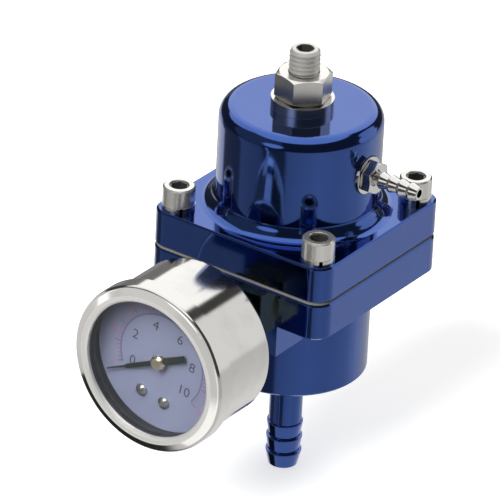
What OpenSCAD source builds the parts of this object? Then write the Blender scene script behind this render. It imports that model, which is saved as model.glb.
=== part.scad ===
// Adjustable fuel pressure regulator with a dial gauge. A domed bonnet and a lower
// body clamp a diaphragm between two square flanges. The origin is the centre of the
// return barb's mouth, +Z is up, the dial faces -Y and the vacuum nipple points to +X.

/* [Flanges] */
// Width of both square flanges
flange_w = 54.5; // [54:0.5:60]
// Radius of the flange corners
flange_corner_r = 5; // [3:0.5:8]
// Thickness of each flange
flange_t = 10; // [9:0.5:14]
// Chamfer on the flange and boss edges
edge_chamfer = 0.5; // [0.2:0.1:0.8]
// Thickness of the diaphragm between the flanges
diaphragm_t = 0.6; // [0.4:0.1:1.2]
// How far the diaphragm's edge lies inside the flange sides
diaphragm_inset = 0.3; // [0.1:0.1:0.6]

/* [Bonnet] */
// Diameter of the dome
dome_d = 42.4; // [40:0.2:43]
// Height of the dome above its flange
dome_h = 28; // [24:0.5:36]
// Radius of the dome's top edge
dome_edge_r = 3.6; // [1:0.2:4]
// Radius of the fillet at the dome's foot
dome_foot_r = 4; // [2:0.2:4.2]
// Wall between the spring chamber and the dome's side
dome_wall = 5.7; // [4:0.1:6.5]
// Thickness of the dome's top
dome_top_t = 7; // [5:0.5:9]

/* [Lower body] */
// Diameter of the round boss under the lower flange
boss_d = 41; // [39:0.5:44]
// Height of the boss
boss_h = 25.5; // [23:0.5:34]
// Width of the flat pads that hold the side ports
pad_w = 28.5; // [22:0.5:32]
// How far the pads hang below the flange
pad_drop = 8.2; // [7.5:0.1:12]
// Side port axis below the flange's underside
port_drop = 1.5; // [0.5:0.1:2.5]
// Diameter of the fuel chamber
chamber_d = 30; // [28:0.5:32]
// Depth of the fuel chamber
chamber_depth = 20; // [17:0.5:21]
// Diameter of the two tapped bracket holes in the boss's underside
bracket_hole_d = 4.2; // [3.3:0.1:5]
// Distance between the bracket holes
bracket_spacing = 27; // [25:0.5:30]
// Depth of the bracket holes
bracket_hole_depth = 10; // [6:0.5:11]

/* [Hose barbs] */
// Reach of the return barb below the boss
return_reach = 31; // [26:0.5:40]
// Reach of the inlet barb from its pad
inlet_reach = 25; // [23.5:0.5:40]
// Bore of the hose barbs
barb_bore_d = 5.5; // [4:0.1:6]
// Diameter of the plain neck
barb_neck_d = 8.7; // [8:0.1:9]
// Diameter of the barb crests
barb_crest_d = 9.5; // [9.2:0.1:11]
// Diameter at the foot of each barb
barb_root_d = 8.3; // [7.8:0.1:8.8]
// Diameter of the mouth
barb_tip_d = 7.7; // [7:0.1:8.5]
// Length of one barb
barb_pitch = 4.3; // [3.5:0.1:4.6]
// Number of barbs
barb_count = 3; // [2:1:3]
// Across flats of the barb's hexagon
barb_hex_af = 12; // [11:0.5:14]
// Height of the barb's hexagon
barb_hex_h = 5.5; // [4:0.5:7]
// Diameter of the tapped ports
port_thread_d = 9.7; // [9:0.1:10.5]
// Depth of the tapped ports
port_thread_len = 8.5; // [7:0.5:9]
// Diameter of the sealing washers under the barbs
port_washer_d = 14; // [13:0.5:16]
// Thickness of the sealing washers
port_washer_t = 1; // [0.6:0.1:1.5]

/* [Flange screws] */
// Thread diameter of the cap screws
screw_d = 5; // [4:0.5:5]
// Length of the cap screws under the head
screw_len = 20; // [18:0.5:20.5]
// Diameter of the cap screw heads
screw_head_d = 8.5; // [8:0.1:8.8]
// Height of the cap screw heads
screw_head_h = 5; // [4:0.5:6]
// Across flats of the heads' hexagon sockets
screw_socket_af = 4; // [3:0.5:5]
// Depth of the heads' sockets
screw_socket_depth = 2.6; // [2:0.1:3]
// Distance of the cap screws from the flange's sides
screw_inset = 5.45; // [4.8:0.05:5.8]
// Diameter of the split lock washers
lock_washer_d = 8.7; // [8.2:0.1:9]
// Thickness of the split lock washers
lock_washer_t = 1.3; // [1:0.1:1.6]
// Width of the split in a lock washer
lock_washer_split = 0.9; // [0.5:0.1:1.5]

/* [Adjuster] */
// Thread diameter of the adjusting screw
adjuster_d = 8; // [7:0.5:9]
// Length of the adjusting screw
adjuster_len = 30; // [28:0.5:33]
// How far the adjusting screw stands above its lock nut
adjuster_proud = 6.5; // [5.5:0.5:11]
// Chamfer on the adjusting screw's ends
adjuster_chamfer = 0.7; // [0.3:0.1:1]
// Across flats of the adjusting screw's socket
adjuster_socket_af = 4; // [3:0.5:5]
// Depth of the adjusting screw's socket
adjuster_socket_depth = 4; // [3:0.5:6]
// Across flats of the lock nut
nut_af = 13; // [12:0.5:15]
// Height of the lock nut
nut_h = 7; // [5:0.5:8]
// Turn of the lock nut about the adjusting screw, in degrees
nut_turn = 45; // [0:1:60]
// Diameter of the washer under the lock nut
washer_d = 16.4; // [15:0.2:20]
// Thickness of the washer under the lock nut
washer_t = 2.6; // [1:0.1:3]

/* [Spring and diaphragm stack] */
// Wire diameter of the main spring
spring_wire_d = 2.8; // [2:0.1:3]
// Mean diameter of the main spring
spring_mean_d = 19; // [18:0.5:20]
// Turns of the main spring, closed end turns included
spring_turns = 4; // [3:0.5:5]
// Diameter of the spring button
button_d = 25; // [23.5:0.5:28]
// Thickness of the spring button's flange
button_t = 3; // [2:0.5:4]
// Length of the button's spigot inside the spring
button_spigot_l = 3; // [1.5:0.5:4]
// Diameter of the upper diaphragm plate
upper_plate_d = 26; // [24:0.5:28]
// Diameter of the lower diaphragm plate
lower_plate_d = 24; // [20:0.5:26]
// Thickness of the diaphragm plates
plate_t = 1.2; // [0.8:0.1:1.6]
// Diameter of the stud through the diaphragm
stud_d = 6; // [5:0.5:7]
// Across flats of the nut on the stud
stack_nut_af = 10; // [9:0.5:12]
// Height of the nut on the stud
stack_nut_h = 4; // [3:0.5:5]
// How far the stud stands above its nut
stud_proud = 1.2; // [0.5:0.1:2]
// Diameter of the stud's head, which holds the valve disc
valve_holder_d = 11; // [10:0.5:13]
// Height of the stud's head
valve_holder_h = 3; // [2:0.5:4]
// Diameter of the valve disc
valve_disc_d = 9; // [8:0.5:9.5]
// Thickness of the valve disc
valve_disc_t = 1.2; // [0.8:0.1:2]
// Diameter of the valve seat's lip
seat_lip_d = 6.8; // [6.4:0.1:7.8]
// Bore of the valve seat
seat_bore_d = 5; // [4:0.1:5.4]
// Diameter of the valve seat's body
seat_body_d = 11; // [10:0.5:13]
// Height of the cone under the valve seat's lip
seat_cone_h = 4; // [2:0.5:6]
// Diameter of the thread that holds the valve seat
seat_thread_d = 8; // [7:0.5:9]
// Length of the thread that holds the valve seat
seat_thread_len = 5; // [4:0.5:5.5]

/* [Vacuum nipple] */
// Height of the nipple's axis above the upper flange
nipple_rise = 15; // [12:0.5:18]
// Reach of the nipple from the dome's side
nipple_reach = 15.8; // [15:0.2:24]
// Bore of the nipple
nipple_bore_d = 2.2; // [1.6:0.1:2.4]
// Diameter of the nipple's neck
nipple_neck_d = 3.4; // [3:0.1:3.6]
// Diameter of the nipple's ridges
nipple_crest_d = 4.6; // [4.2:0.1:5.6]
// Length of one ridge
nipple_pitch = 3; // [2.4:0.1:3.2]
// Number of ridges
nipple_ridges = 4; // [3:1:4]
// Across flats of the nipple's hexagon
nipple_hex_af = 8; // [7:0.5:9]
// Height of the nipple's hexagon
nipple_hex_h = 3; // [2:0.5:3]
// Diameter of the nipple's thread
nipple_thread_d = 5; // [4:0.5:6]
// Diameter of the washer under the nipple
nipple_washer_d = 10; // [9:0.2:11]
// Thickness of the washer under the nipple
nipple_washer_t = 1.2; // [0.8:0.1:1.6]

/* [Gauge case] */
// Gap between the lower body's pad and the back of the gauge
stem_reach = 12.75; // [11:0.25:20]
// Across flats of the square wrench block on the stem
stem_square = 12; // [11:0.5:14]
// Length of the square wrench block
stem_square_l = 7; // [5:0.5:8]
// Bore of the stem
stem_bore_d = 2; // [1.5:0.1:3]
// Diameter of the gauge case
case_d = 42.8; // [42:0.2:46]
// Wall of the gauge case
case_wall = 0.9; // [0.6:0.1:1.2]
// Thickness of the gauge case's back
case_back_t = 1.2; // [0.8:0.1:1.6]
// Radius of the case's rear edge
case_edge_r = 1.1; // [0.5:0.1:1.1]
// Depth of the gauge case, up to the window's gasket
case_depth = 20.4; // [20:0.2:26]
// Wall of the bezel around the case
bezel_wall = 1.2; // [0.8:0.05:2.6]
// Length of the bezel along the gauge
bezel_len = 5.9; // [5:0.1:8]
// Radius of the bezel's outer front edge
bezel_edge_r = 1.2; // [0.5:0.1:1.4]
// Width of the bezel's flat lip around its opening
bezel_flat_w = 1.65; // [1.2:0.05:1.8]
// Fall of the bezel's front from the flat lip to its outer edge, in degrees
bezel_fall = 18; // [8:1:22]
// How far the bezel's lip reaches inside the case's outer side
bezel_lip_reach = 2.85; // [2.2:0.05:3.2]
// Thickness of the bezel's front lip
bezel_lip_t = 1.4; // [1.1:0.1:2]
// Thickness of the window
window_t = 1.6; // [1:0.1:2]
// Thickness of the gasket behind the window
gasket_t = 0.9; // [0.6:0.1:1.4]
// Width of the gasket's ring
gasket_w = 1.6; // [1.3:0.05:2.2]
// Diameter of the stem's neck, which passes through the case's back
stem_neck_d = 10; // [8:0.5:11]

/* [Gauge dial] */
// Gap between the dial and the case's inside
dial_gap = 0.6; // [0.3:0.05:1]
// Thickness of the dial
dial_t = 0.5; // [0.3:0.1:0.8]
// Clockwise turn of the dial as screwed into the body, in degrees
dial_turn = 11; // [-30:1:30]
// Full swing of the pointer, in degrees
pointer_swing = 252; // [240:1:264]
// Gap between the pointer's tip and the dial's edge
pointer_edge_gap = 2.4; // [2:0.1:6]
// Length of the pointer's broad blade, from its axis
pointer_blade = 10.7; // [8:0.1:13]
// Width of the pointer's blade
pointer_w = 1.2; // [0.8:0.1:1.6]
// Width of the pointer's needle beyond the blade
pointer_tip_w = 0.5; // [0.3:0.1:0.8]
// Length of the pointer's tail
pointer_tail = 8.6; // [5:0.1:11]
// Width of the pointer's tail
pointer_tail_w = 1.8; // [1:0.1:2.4]
// Thickness of the pointer
pointer_t = 0.4; // [0.3:0.1:0.6]
// Gap between the dial and the pointer
pointer_gap = 0.9; // [0.6:0.1:1.4]
// Diameter of the pointer's hub
hub_d = 4; // [3:0.2:5]
// Height of the pointer's hub above the pointer
hub_h = 1.2; // [0.8:0.1:1.6]
// Distance of the dial screws from the dial's centre
dial_screw_radius = 11.8; // [10:0.1:12.2]
// Angle of each dial screw from the dial's foot, in degrees
dial_screw_angle = 17.5; // [12:0.5:25]
// Head diameter of the dial and movement screws
small_head_d = 3.2; // [2.6:0.1:3.4]
// Head height of the dial screws
small_head_h = 1.2; // [0.8:0.1:1.4]
// Thread diameter of the dial and movement screws
small_screw_d = 2; // [1.6:0.1:2.2]

/* [Gauge movement] */
// Front face of the socket block above the gauge's back
socket_block_h = 7.2; // [6:0.2:7.2]
// Thickness of the movement plates
movement_plate_t = 0.8; // [0.6:0.1:1]
// Diameter of the movement plates
movement_plate_d = 28.4; // [28:0.2:30]
// Length of the pillars between the movement plates
pillar_len = 5.4; // [5.2:0.1:6]
// Diameter of the pillars and dial posts
pillar_d = 3.4; // [3:0.1:3.6]
// Sideways distance of each pillar from the dial's axis
pillar_x = 9.5; // [8:0.5:10]
// Distance of the pillars below the dial's axis
pillar_y = 6; // [5:0.5:7]
// Gear module of the pinion and the sector
gear_module = 0.4; // [0.38:0.01:0.42]
// Teeth on the pinion
pinion_teeth = 8; // [8:1:9]
// Teeth on the sector's full circle
sector_teeth = 48; // [46:2:50]
// Direction of the sector's pivot from the dial's axis, in degrees
sector_dir = 110; // [100:1:120]
// Radius of the sector's tail, which the link pulls
tail_r = 3; // [2.6:0.1:3.2]
// Length of the link between its eyes
link_len = 6; // [5.6:0.1:6.2]
// Width of the sector's rim under its teeth
sector_rim_w = 1.6; // [1.2:0.1:2]
// Width of the sector's arms
sector_arm_w = 1.2; // [0.8:0.1:1.6]
// Diameter of the sector's hub
sector_hub_d = 3; // [2.4:0.1:3.6]
// Distance of the hairspring's stud from the pointer's axis
hairspring_stud_r = 5.6; // [5:0.1:6]
// Diameter of the hairspring's stud
hairspring_stud_d = 0.9; // [0.6:0.1:1.2]
// Diameter of the pinion's arbor
arbor_d = 1.4; // [1.2:0.1:1.6]
// Mean diameter of the coiled pressure tube
bourdon_d = 33.6; // [33:0.1:34.2]
// Width of the flattened pressure tube
bourdon_h = 4; // [3:0.2:4.4]
// Thickness of the flattened pressure tube
bourdon_t = 1.6; // [1.2:0.1:1.8]

/* [Fits] */
// Radial clearance of screw threads and press fits
thread_clear = 0.05; // [0.02:0.01:0.08]
// Radial clearance of turning shafts
running_clear = 0.05; // [0.02:0.01:0.08]
// Radial clearance of screws in their through holes
hole_clear = 0.25; // [0.1:0.05:0.3]
// Radial gap around the window, its gasket and the dial's spacer ring
window_clear = 0.2; // [0.1:0.05:0.3]
// Gap between the closed valve disc and its seat
seat_gap = 0.1; // [0.05:0.05:0.3]
// Gap between the spring's end coils and what they press on
spring_gap = 0.05; // [0.02:0.01:0.1]

/* [Hidden] */
$fn = 96;

BLUE = "#2b4aa0";
CHROME = "#c9ccd0";
STEEL = "#a8abb0";
BRASS = "#c2a35a";
RUBBER = "#1c1c1e";
eps = 0.01;

// Heights along the main axis
boss_z = return_reach;
body_flange_z = boss_z + boss_h;
body_top_z = body_flange_z + flange_t;
cover_z = body_top_z + diaphragm_t;
cover_top_z = cover_z + flange_t;
dome_top_z = cover_top_z + dome_h;
washer_top_z = dome_top_z + washer_t;
nut_top_z = washer_top_z + nut_h;
adjuster_top_z = nut_top_z + adjuster_proud;
adjuster_foot_z = adjuster_top_z - adjuster_len;
button_z = adjuster_foot_z - button_t;
plate_top_z = cover_z + plate_t;
stack_nut_top_z = plate_top_z + stack_nut_h;
lower_plate_z = body_top_z - plate_t;
holder_z = lower_plate_z - valve_holder_h;
disc_z = holder_z - valve_disc_t;
seat_z = disc_z - seat_gap;
chamber_z = body_top_z - chamber_depth;
port_z = body_flange_z - port_drop;

// Radii and widths
flange_half = flange_w / 2;
dome_r = dome_d / 2;
chamber_r = chamber_d / 2;
spring_chamber_r = dome_r - dome_wall;
screw_offset = flange_half - screw_inset;
screw_pos = [for (sx = [-1, 1], sy = [-1, 1]) [sx * screw_offset, sy * screw_offset]];
foot_r = min(dome_foot_r, screw_offset * sqrt(2) - lock_washer_d / 2 - hole_clear - dome_r);
screw_tip_z = cover_top_z + lock_washer_t - screw_len;
screw_hole_end = 0.6;

// Flat seat on the dome under the nipple's washer
nipple_z = cover_top_z + nipple_rise;
spot_d = nipple_washer_d + 0.4;
spot_sink = 0.2;
spot_x = sqrt(dome_r * dome_r - spot_d * spot_d / 4) - spot_sink;
nipple_tip_x = dome_r + nipple_reach;

// Gauge diameters, from the case inwards and outwards
case_bore_d = case_d - 2 * case_wall;
bezel_d = case_d + 2 * (thread_clear + bezel_wall);
bezel_open_d = case_d - 2 * bezel_lip_reach;
window_d = case_d - 2 * window_clear;
gasket_open_d = window_d - 2 * gasket_w;
dial_d = case_bore_d - 2 * dial_gap;
pointer_len = dial_d / 2 - pointer_edge_gap;

// Gauge stations along its own axis, from the case's back towards the window
stem_foot = -stem_reach - port_thread_len;
bezel_front = case_depth + gasket_t + window_t + bezel_lip_t;
bezel_back = bezel_front - bezel_len;
rear_plate_z = socket_block_h;
front_plate_z = rear_plate_z + movement_plate_t + pillar_len;
dial_post_len = 1.9;
dial_z = front_plate_z + movement_plate_t + dial_post_len;
pointer_z = dial_z + dial_t + pointer_gap;
hub_top = pointer_z + pointer_t + hub_h;
sector_z = rear_plate_z + movement_plate_t + 1.8;
sector_t = 0.8;
link_z = sector_z + sector_t + 0.3;
link_t = 0.6;
lug_z = link_z + link_t + 0.4;
lug_t = 0.6;
hairspring_z = link_z + link_t + 0.2;
hairspring_h = 0.5;
bourdon_z = sector_z + sector_t / 2 - bourdon_h / 2;

// Gear train: pitch radii, pivots and the sector's swing
pinion_r = gear_module * pinion_teeth / 2;
sector_r = gear_module * sector_teeth / 2;
gear_distance = pinion_r + sector_r;
sector_swing = pointer_swing * pinion_teeth / sector_teeth;
pivot = gear_distance * [cos(sector_dir), sin(sector_dir)];
tail_dir = sector_dir - 90 - sector_swing / 2;
tail_pin = pivot + tail_r * [cos(tail_dir), sin(tail_dir)];
tip_pin = tail_pin + link_len * [cos(sector_dir), sin(sector_dir)];
tip_angle = atan2(tip_pin[1], tip_pin[0]);
tip_r = norm(tip_pin);
sector_mid = sector_dir + 180 - sector_swing / 2;
pivot_pin_d = 1.2;
link_pin_d = 0.8;
eye_r = 0.9;
bourdon_start = -157;
bourdon_end = tip_angle - 14;
pillar_pos = [for (sx = [-1, 1]) [sx * pillar_x, -pillar_y]];
dial_screw_pos = [for (side = [-1, 1])
    let (a = -90 - dial_turn + side * dial_screw_angle) dial_screw_radius * [cos(a), sin(a)]];
pointer_rest = 90 - dial_turn + pointer_swing / 2;

// Square bar along Y with chamfered long edges
module chamfer_bar(len, w, t, c) {
    outline = [
        [-w / 2, c], [-w / 2 + c, 0], [w / 2 - c, 0], [w / 2, c],
        [w / 2, t - c], [w / 2 - c, t], [-w / 2 + c, t], [-w / 2, t - c]
    ];
    rotate([90, 0, 0])
        linear_extrude(height = len, center = true)
            polygon(outline);
}

// Disc with chamfered rims
module chamfer_disc(r, t, c) {
    rotate_extrude()
        polygon([[0, 0], [r - c, 0], [r, c], [r, t - c], [r - c, t], [0, t]]);
}

// Square plate with round corners and chamfered edges
module rounded_plate(w, r, t, c) {
    chamfer_bar(w - 2 * r, w, t, c);
    rotate([0, 0, 90])
        chamfer_bar(w - 2 * r, w, t, c);
    for (sx = [-1, 1], sy = [-1, 1])
        translate([sx * (w / 2 - r), sy * (w / 2 - r), 0])
            chamfer_disc(r, t, c);
}

// Hexagonal prism with both rims chamfered, as on a nut or a fitting
module hex_prism(af, h) {
    corner_r = af / sqrt(3);
    rim = (corner_r - af / 2) * 0.6;
    intersection() {
        cylinder(r = corner_r, h = h, $fn = 6);
        rotate_extrude()
            polygon([
                [0, 0], [af / 2 * 0.97, 0], [corner_r + eps, rim],
                [corner_r + eps, h - rim], [af / 2 * 0.97, h], [0, h]
            ]);
    }
}

// Flat ring
module ring(d_out, d_in, h) {
    difference() {
        cylinder(d = d_out, h = h);
        translate([0, 0, -1])
            cylinder(d = d_in, h = h + 2);
    }
}

// Hose barb from its mouth at z = 0 to the hexagon, washer and thread above
module hose_barb(reach) {
    hex_z = reach - port_washer_t - barb_hex_h;
    teeth = [for (i = [0 : barb_count - 1]) each [
        [(i == 0 ? barb_tip_d : barb_root_d) / 2, i * barb_pitch],
        [barb_crest_d / 2, (i + 0.9) * barb_pitch],
        [barb_crest_d / 2, (i + 0.97) * barb_pitch],
        [(i == barb_count - 1 ? barb_neck_d : barb_root_d) / 2, (i + 1) * barb_pitch]
    ]];
    difference() {
        union() {
            rotate_extrude()
                polygon(concat([[0, 0]], teeth, [[barb_neck_d / 2, hex_z + 1], [0, hex_z + 1]]));
            translate([0, 0, hex_z])
                hex_prism(barb_hex_af, barb_hex_h);
            translate([0, 0, reach - port_washer_t - 1])
                cylinder(d = port_thread_d, h = port_washer_t + 1 + port_thread_len - 0.3);
        }
        translate([0, 0, -1])
            cylinder(d = barb_bore_d, h = reach + port_thread_len + 2);
    }
}

// Tube of round section swept along points, each given with its outward direction
module wire(points, outward, r, sides) {
    rings = len(points);
    verts = [for (i = [0 : rings - 1], k = [0 : sides - 1])
        let (a = 360 * k / sides)
        points[i] + r * (cos(a) * outward[i] + sin(a) * [0, 0, 1])];
    walls = [for (i = [0 : rings - 2], k = [0 : sides - 1])
        let (n = (k + 1) % sides)
        [i * sides + k, (i + 1) * sides + k, (i + 1) * sides + n, i * sides + n]];
    first = [for (k = [0 : sides - 1]) k];
    last = [for (k = [0 : sides - 1]) (rings - 1) * sides + sides - 1 - k];
    polyhedron(points = verts, faces = concat(walls, [first], [last]));
}

// Places a child in the gauge's own frame: z out of the dial, y up, x to the right
module gauge_frame() {
    translate([0, -(flange_half + stem_reach), port_z])
        rotate([90, 0, 0])
            children();
}

module dome_profile() {
    trim = foot_r / 10;
    translate([0, -1])
        square([dome_r, dome_h - dome_edge_r + 1]);
    square([dome_r - dome_edge_r, dome_h]);
    translate([dome_r - dome_edge_r, dome_h - dome_edge_r])
        circle(r = dome_edge_r);
    difference() {
        translate([dome_r - 1, -1])
            square([foot_r + 1 - trim, foot_r + 1 - trim]);
        translate([dome_r + foot_r, foot_r])
            circle(r = foot_r);
    }
}

module spring_cover() {
    color(BLUE)
    difference() {
        union() {
            translate([0, 0, cover_z])
                rounded_plate(flange_w, flange_corner_r, flange_t, edge_chamfer);
            translate([0, 0, cover_top_z])
                rotate_extrude()
                    dome_profile();
        }
        translate([0, 0, cover_z - 1])
            cylinder(r = spring_chamber_r, h = flange_t + dome_h - dome_top_t + 1);
        translate([0, 0, dome_top_z - dome_top_t - 1])
            cylinder(d = adjuster_d + 2 * thread_clear, h = dome_top_t + 2);
        for (p = screw_pos)
            translate([p[0], p[1], cover_z - 1])
                cylinder(d = screw_d + 2 * hole_clear, h = flange_t + 2);
        translate([spot_x, 0, nipple_z])
            rotate([0, 90, 0])
                cylinder(d = spot_d, h = dome_r);
        translate([spring_chamber_r - 2, 0, nipple_z])
            rotate([0, 90, 0])
                cylinder(d = nipple_thread_d + 2 * thread_clear, h = dome_wall + 4);
    }
}

module lower_body() {
    thread_r = port_thread_d / 2 + thread_clear;
    pad_h = pad_drop + flange_t / 2;
    color(BLUE)
    difference() {
        union() {
            translate([0, 0, body_flange_z])
                rounded_plate(flange_w, flange_corner_r, flange_t, edge_chamfer);
            translate([0, 0, boss_z])
                chamfer_disc(boss_d / 2, boss_h + flange_t / 2, edge_chamfer);
            for (side = [-1, 1])
                translate([-pad_w / 2, side > 0 ? 0 : -flange_half, body_flange_z - pad_drop])
                    cube([pad_w, flange_half, pad_h]);
        }
        translate([0, 0, chamber_z])
            cylinder(r = chamber_r, h = chamber_depth + 1);
        translate([0, 0, boss_z - 1])
            cylinder(r = thread_r, h = port_thread_len + 1);
        translate([0, 0, boss_z])
            cylinder(d = barb_bore_d, h = chamber_z - boss_z + 1);
        translate([0, 0, chamber_z - seat_thread_len])
            cylinder(d = seat_thread_d + 2 * thread_clear, h = seat_thread_len + 1);
        for (side = [-1, 1])
            translate([0, side * flange_half, port_z])
                rotate([side * 90, 0, 0]) {
                    translate([0, 0, -1])
                        cylinder(r = thread_r, h = port_thread_len + 1);
                    cylinder(d = side > 0 ? barb_bore_d : stem_bore_d, h = flange_half - chamber_r + 2);
                }
        for (p = screw_pos)
            translate([p[0], p[1], screw_tip_z - screw_hole_end])
                cylinder(d = screw_d + 2 * thread_clear, h = screw_len);
        for (sx = [-1, 1])
            translate([sx * bracket_spacing / 2, 0, boss_z - 1])
                cylinder(d = bracket_hole_d, h = bracket_hole_depth + 1);
    }
}

module diaphragm() {
    color(RUBBER)
    translate([0, 0, body_top_z])
        difference() {
            rounded_plate(flange_w - 2 * diaphragm_inset, flange_corner_r - diaphragm_inset, diaphragm_t, 0.05);
            for (p = screw_pos)
                translate([p[0], p[1], -1])
                    cylinder(d = screw_d + 2 * hole_clear, h = diaphragm_t + 2);
            translate([0, 0, -1])
                cylinder(d = stud_d + 2 * hole_clear, h = diaphragm_t + 2);
        }
}

module cap_screws() {
    rim = 0.4;
    head_z = cover_top_z + lock_washer_t;
    socket_d = screw_socket_af * 2 / sqrt(3);
    lead_in = 0.35;
    color(CHROME)
    for (p = screw_pos)
        translate([p[0], p[1], 0])
            difference() {
                union() {
                    translate([0, 0, screw_tip_z])
                        cylinder(d = screw_d, h = screw_len + 1);
                    translate([0, 0, head_z])
                        rotate_extrude()
                            polygon([
                                [0, 0], [screw_head_d / 2, 0], [screw_head_d / 2, screw_head_h - rim],
                                [screw_head_d / 2 - rim, screw_head_h], [0, screw_head_h]
                            ]);
                }
                translate([0, 0, head_z + screw_head_h - screw_socket_depth])
                    cylinder(d = socket_d, h = screw_socket_depth + 1, $fn = 6);
                translate([0, 0, head_z + screw_head_h - lead_in])
                    cylinder(d1 = socket_d, d2 = socket_d + 4 * lead_in, h = 2 * lead_in);
            }
}

module lock_washers() {
    color(STEEL)
    for (p = screw_pos)
        translate([p[0], p[1], cover_top_z])
            difference() {
                ring(lock_washer_d, screw_d + 2 * hole_clear, lock_washer_t);
                rotate([0, 0, -45])
                    translate([0, -lock_washer_split / 2, -1])
                        cube([lock_washer_d, lock_washer_split, lock_washer_t + 2]);
            }
}

module adjusting_screw() {
    r = adjuster_d / 2;
    c = adjuster_chamfer;
    color(CHROME)
    translate([0, 0, adjuster_foot_z])
        difference() {
            rotate_extrude()
                polygon([
                    [0, 0], [r - c, 0], [r, c], [r, adjuster_len - c],
                    [r - c, adjuster_len], [0, adjuster_len]
                ]);
            translate([0, 0, adjuster_len - adjuster_socket_depth])
                cylinder(d = adjuster_socket_af * 2 / sqrt(3), h = adjuster_socket_depth + 1, $fn = 6);
        }
}

module lock_nut() {
    color(CHROME)
    translate([0, 0, washer_top_z])
        difference() {
            rotate([0, 0, nut_turn])
                hex_prism(nut_af, nut_h);
            translate([0, 0, -1])
                cylinder(d = adjuster_d + 2 * running_clear, h = nut_h + 2);
        }
}

module flat_washer() {
    color(STEEL)
    translate([0, 0, dome_top_z])
        ring(washer_d, adjuster_d + 2 * hole_clear, washer_t);
}

module spring_button() {
    spigot_d = spring_mean_d - spring_wire_d - 2 * hole_clear;
    color(STEEL)
    translate([0, 0, button_z]) {
        cylinder(d = button_d, h = button_t);
        translate([0, 0, -button_spigot_l])
            cylinder(d = spigot_d, h = button_spigot_l + 1);
    }
}

module main_spring() {
    steps = 32;
    sides = 10;
    low = plate_top_z + spring_wire_d / 2 + spring_gap;
    high = button_z - spring_wire_d / 2 - spring_gap;
    end_rise = spring_wire_d * 1.08;
    open_pitch = (high - low - 2 * end_rise) / (spring_turns - 2);
    turns = [for (i = [0 : steps * spring_turns]) i / steps];
    heights = [for (t = turns)
        t < 1 ? low + end_rise * t
        : t > spring_turns - 1 ? high - end_rise * (spring_turns - t)
        : low + end_rise + open_pitch * (t - 1)];
    outward = [for (t = turns) [cos(360 * t), sin(360 * t), 0]];
    centres = [for (i = [0 : len(turns) - 1])
        spring_mean_d / 2 * outward[i] + [0, 0, heights[i]]];
    color(STEEL)
    wire(centres, outward, spring_wire_d / 2, sides);
}

module upper_plate() {
    color(STEEL)
    translate([0, 0, cover_z])
        ring(upper_plate_d, stud_d + 2 * thread_clear, plate_t);
}

module lower_plate() {
    color(STEEL)
    translate([0, 0, lower_plate_z])
        ring(lower_plate_d, stud_d + 2 * thread_clear, plate_t);
}

module stack_stud() {
    color(BRASS) {
        translate([0, 0, holder_z])
            cylinder(d = valve_holder_d, h = valve_holder_h);
        translate([0, 0, holder_z])
            cylinder(d = stud_d, h = stack_nut_top_z + stud_proud - holder_z);
    }
}

module stack_nut() {
    color(STEEL)
    translate([0, 0, plate_top_z])
        difference() {
            hex_prism(stack_nut_af, stack_nut_h);
            translate([0, 0, -1])
                cylinder(d = stud_d + 2 * thread_clear, h = stack_nut_h + 2);
        }
}

module valve_disc() {
    color(RUBBER)
    translate([0, 0, disc_z])
        cylinder(d = valve_disc_d, h = valve_disc_t);
}

module valve_seat() {
    color(BRASS)
    difference() {
        union() {
            translate([0, 0, chamber_z])
                cylinder(d = seat_body_d, h = seat_z - seat_cone_h - chamber_z);
            translate([0, 0, seat_z - seat_cone_h])
                cylinder(d1 = seat_body_d, d2 = seat_lip_d, h = seat_cone_h);
            translate([0, 0, chamber_z - seat_thread_len])
                cylinder(d = seat_thread_d, h = seat_thread_len + 1);
        }
        translate([0, 0, chamber_z - seat_thread_len - 1])
            cylinder(d = seat_bore_d, h = seat_z);
    }
}

module return_barb() {
    color(BLUE)
    hose_barb(return_reach);
}

module inlet_barb() {
    color(BLUE)
    translate([0, flange_half + inlet_reach, port_z])
        rotate([90, 0, 0])
            hose_barb(inlet_reach);
}

module port_washers() {
    bore = port_thread_d + 2 * thread_clear;
    color(STEEL) {
        translate([0, 0, boss_z - port_washer_t])
            ring(port_washer_d, bore, port_washer_t);
        translate([0, flange_half, port_z])
            rotate([-90, 0, 0])
                ring(port_washer_d, bore, port_washer_t);
    }
}

module vacuum_nipple() {
    thread_l = spot_x - spring_chamber_r + nipple_washer_t - 0.5;
    hex_l = spot_x + nipple_washer_t;
    length = nipple_tip_x - hex_l;
    first = length - nipple_ridges * nipple_pitch;
    ridges = [for (i = [0 : nipple_ridges - 1]) each [
        [nipple_neck_d / 2, first + i * nipple_pitch],
        [nipple_crest_d / 2, first + (i + 0.15) * nipple_pitch],
        [nipple_crest_d / 2, first + (i + 0.3) * nipple_pitch],
        [nipple_neck_d / 2, first + (i + 0.95) * nipple_pitch]
    ]];
    color(CHROME)
    translate([hex_l, 0, nipple_z])
        rotate([0, 90, 0])
            difference() {
                union() {
                    hex_prism(nipple_hex_af, nipple_hex_h);
                    translate([0, 0, -thread_l])
                        cylinder(d = nipple_thread_d, h = thread_l + 1);
                    rotate_extrude()
                        polygon(concat(
                            [[0, 0], [nipple_neck_d / 2, 0]], ridges,
                            [[nipple_neck_d / 2, length], [0, length]]
                        ));
                }
                translate([0, 0, -thread_l - 1])
                    cylinder(d = nipple_bore_d, h = thread_l + length + 2);
            }
}

module nipple_washer() {
    color(CHROME)
    translate([spot_x, 0, nipple_z])
        rotate([0, 90, 0])
            ring(nipple_washer_d, nipple_thread_d + 2 * thread_clear, nipple_washer_t);
}

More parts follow.
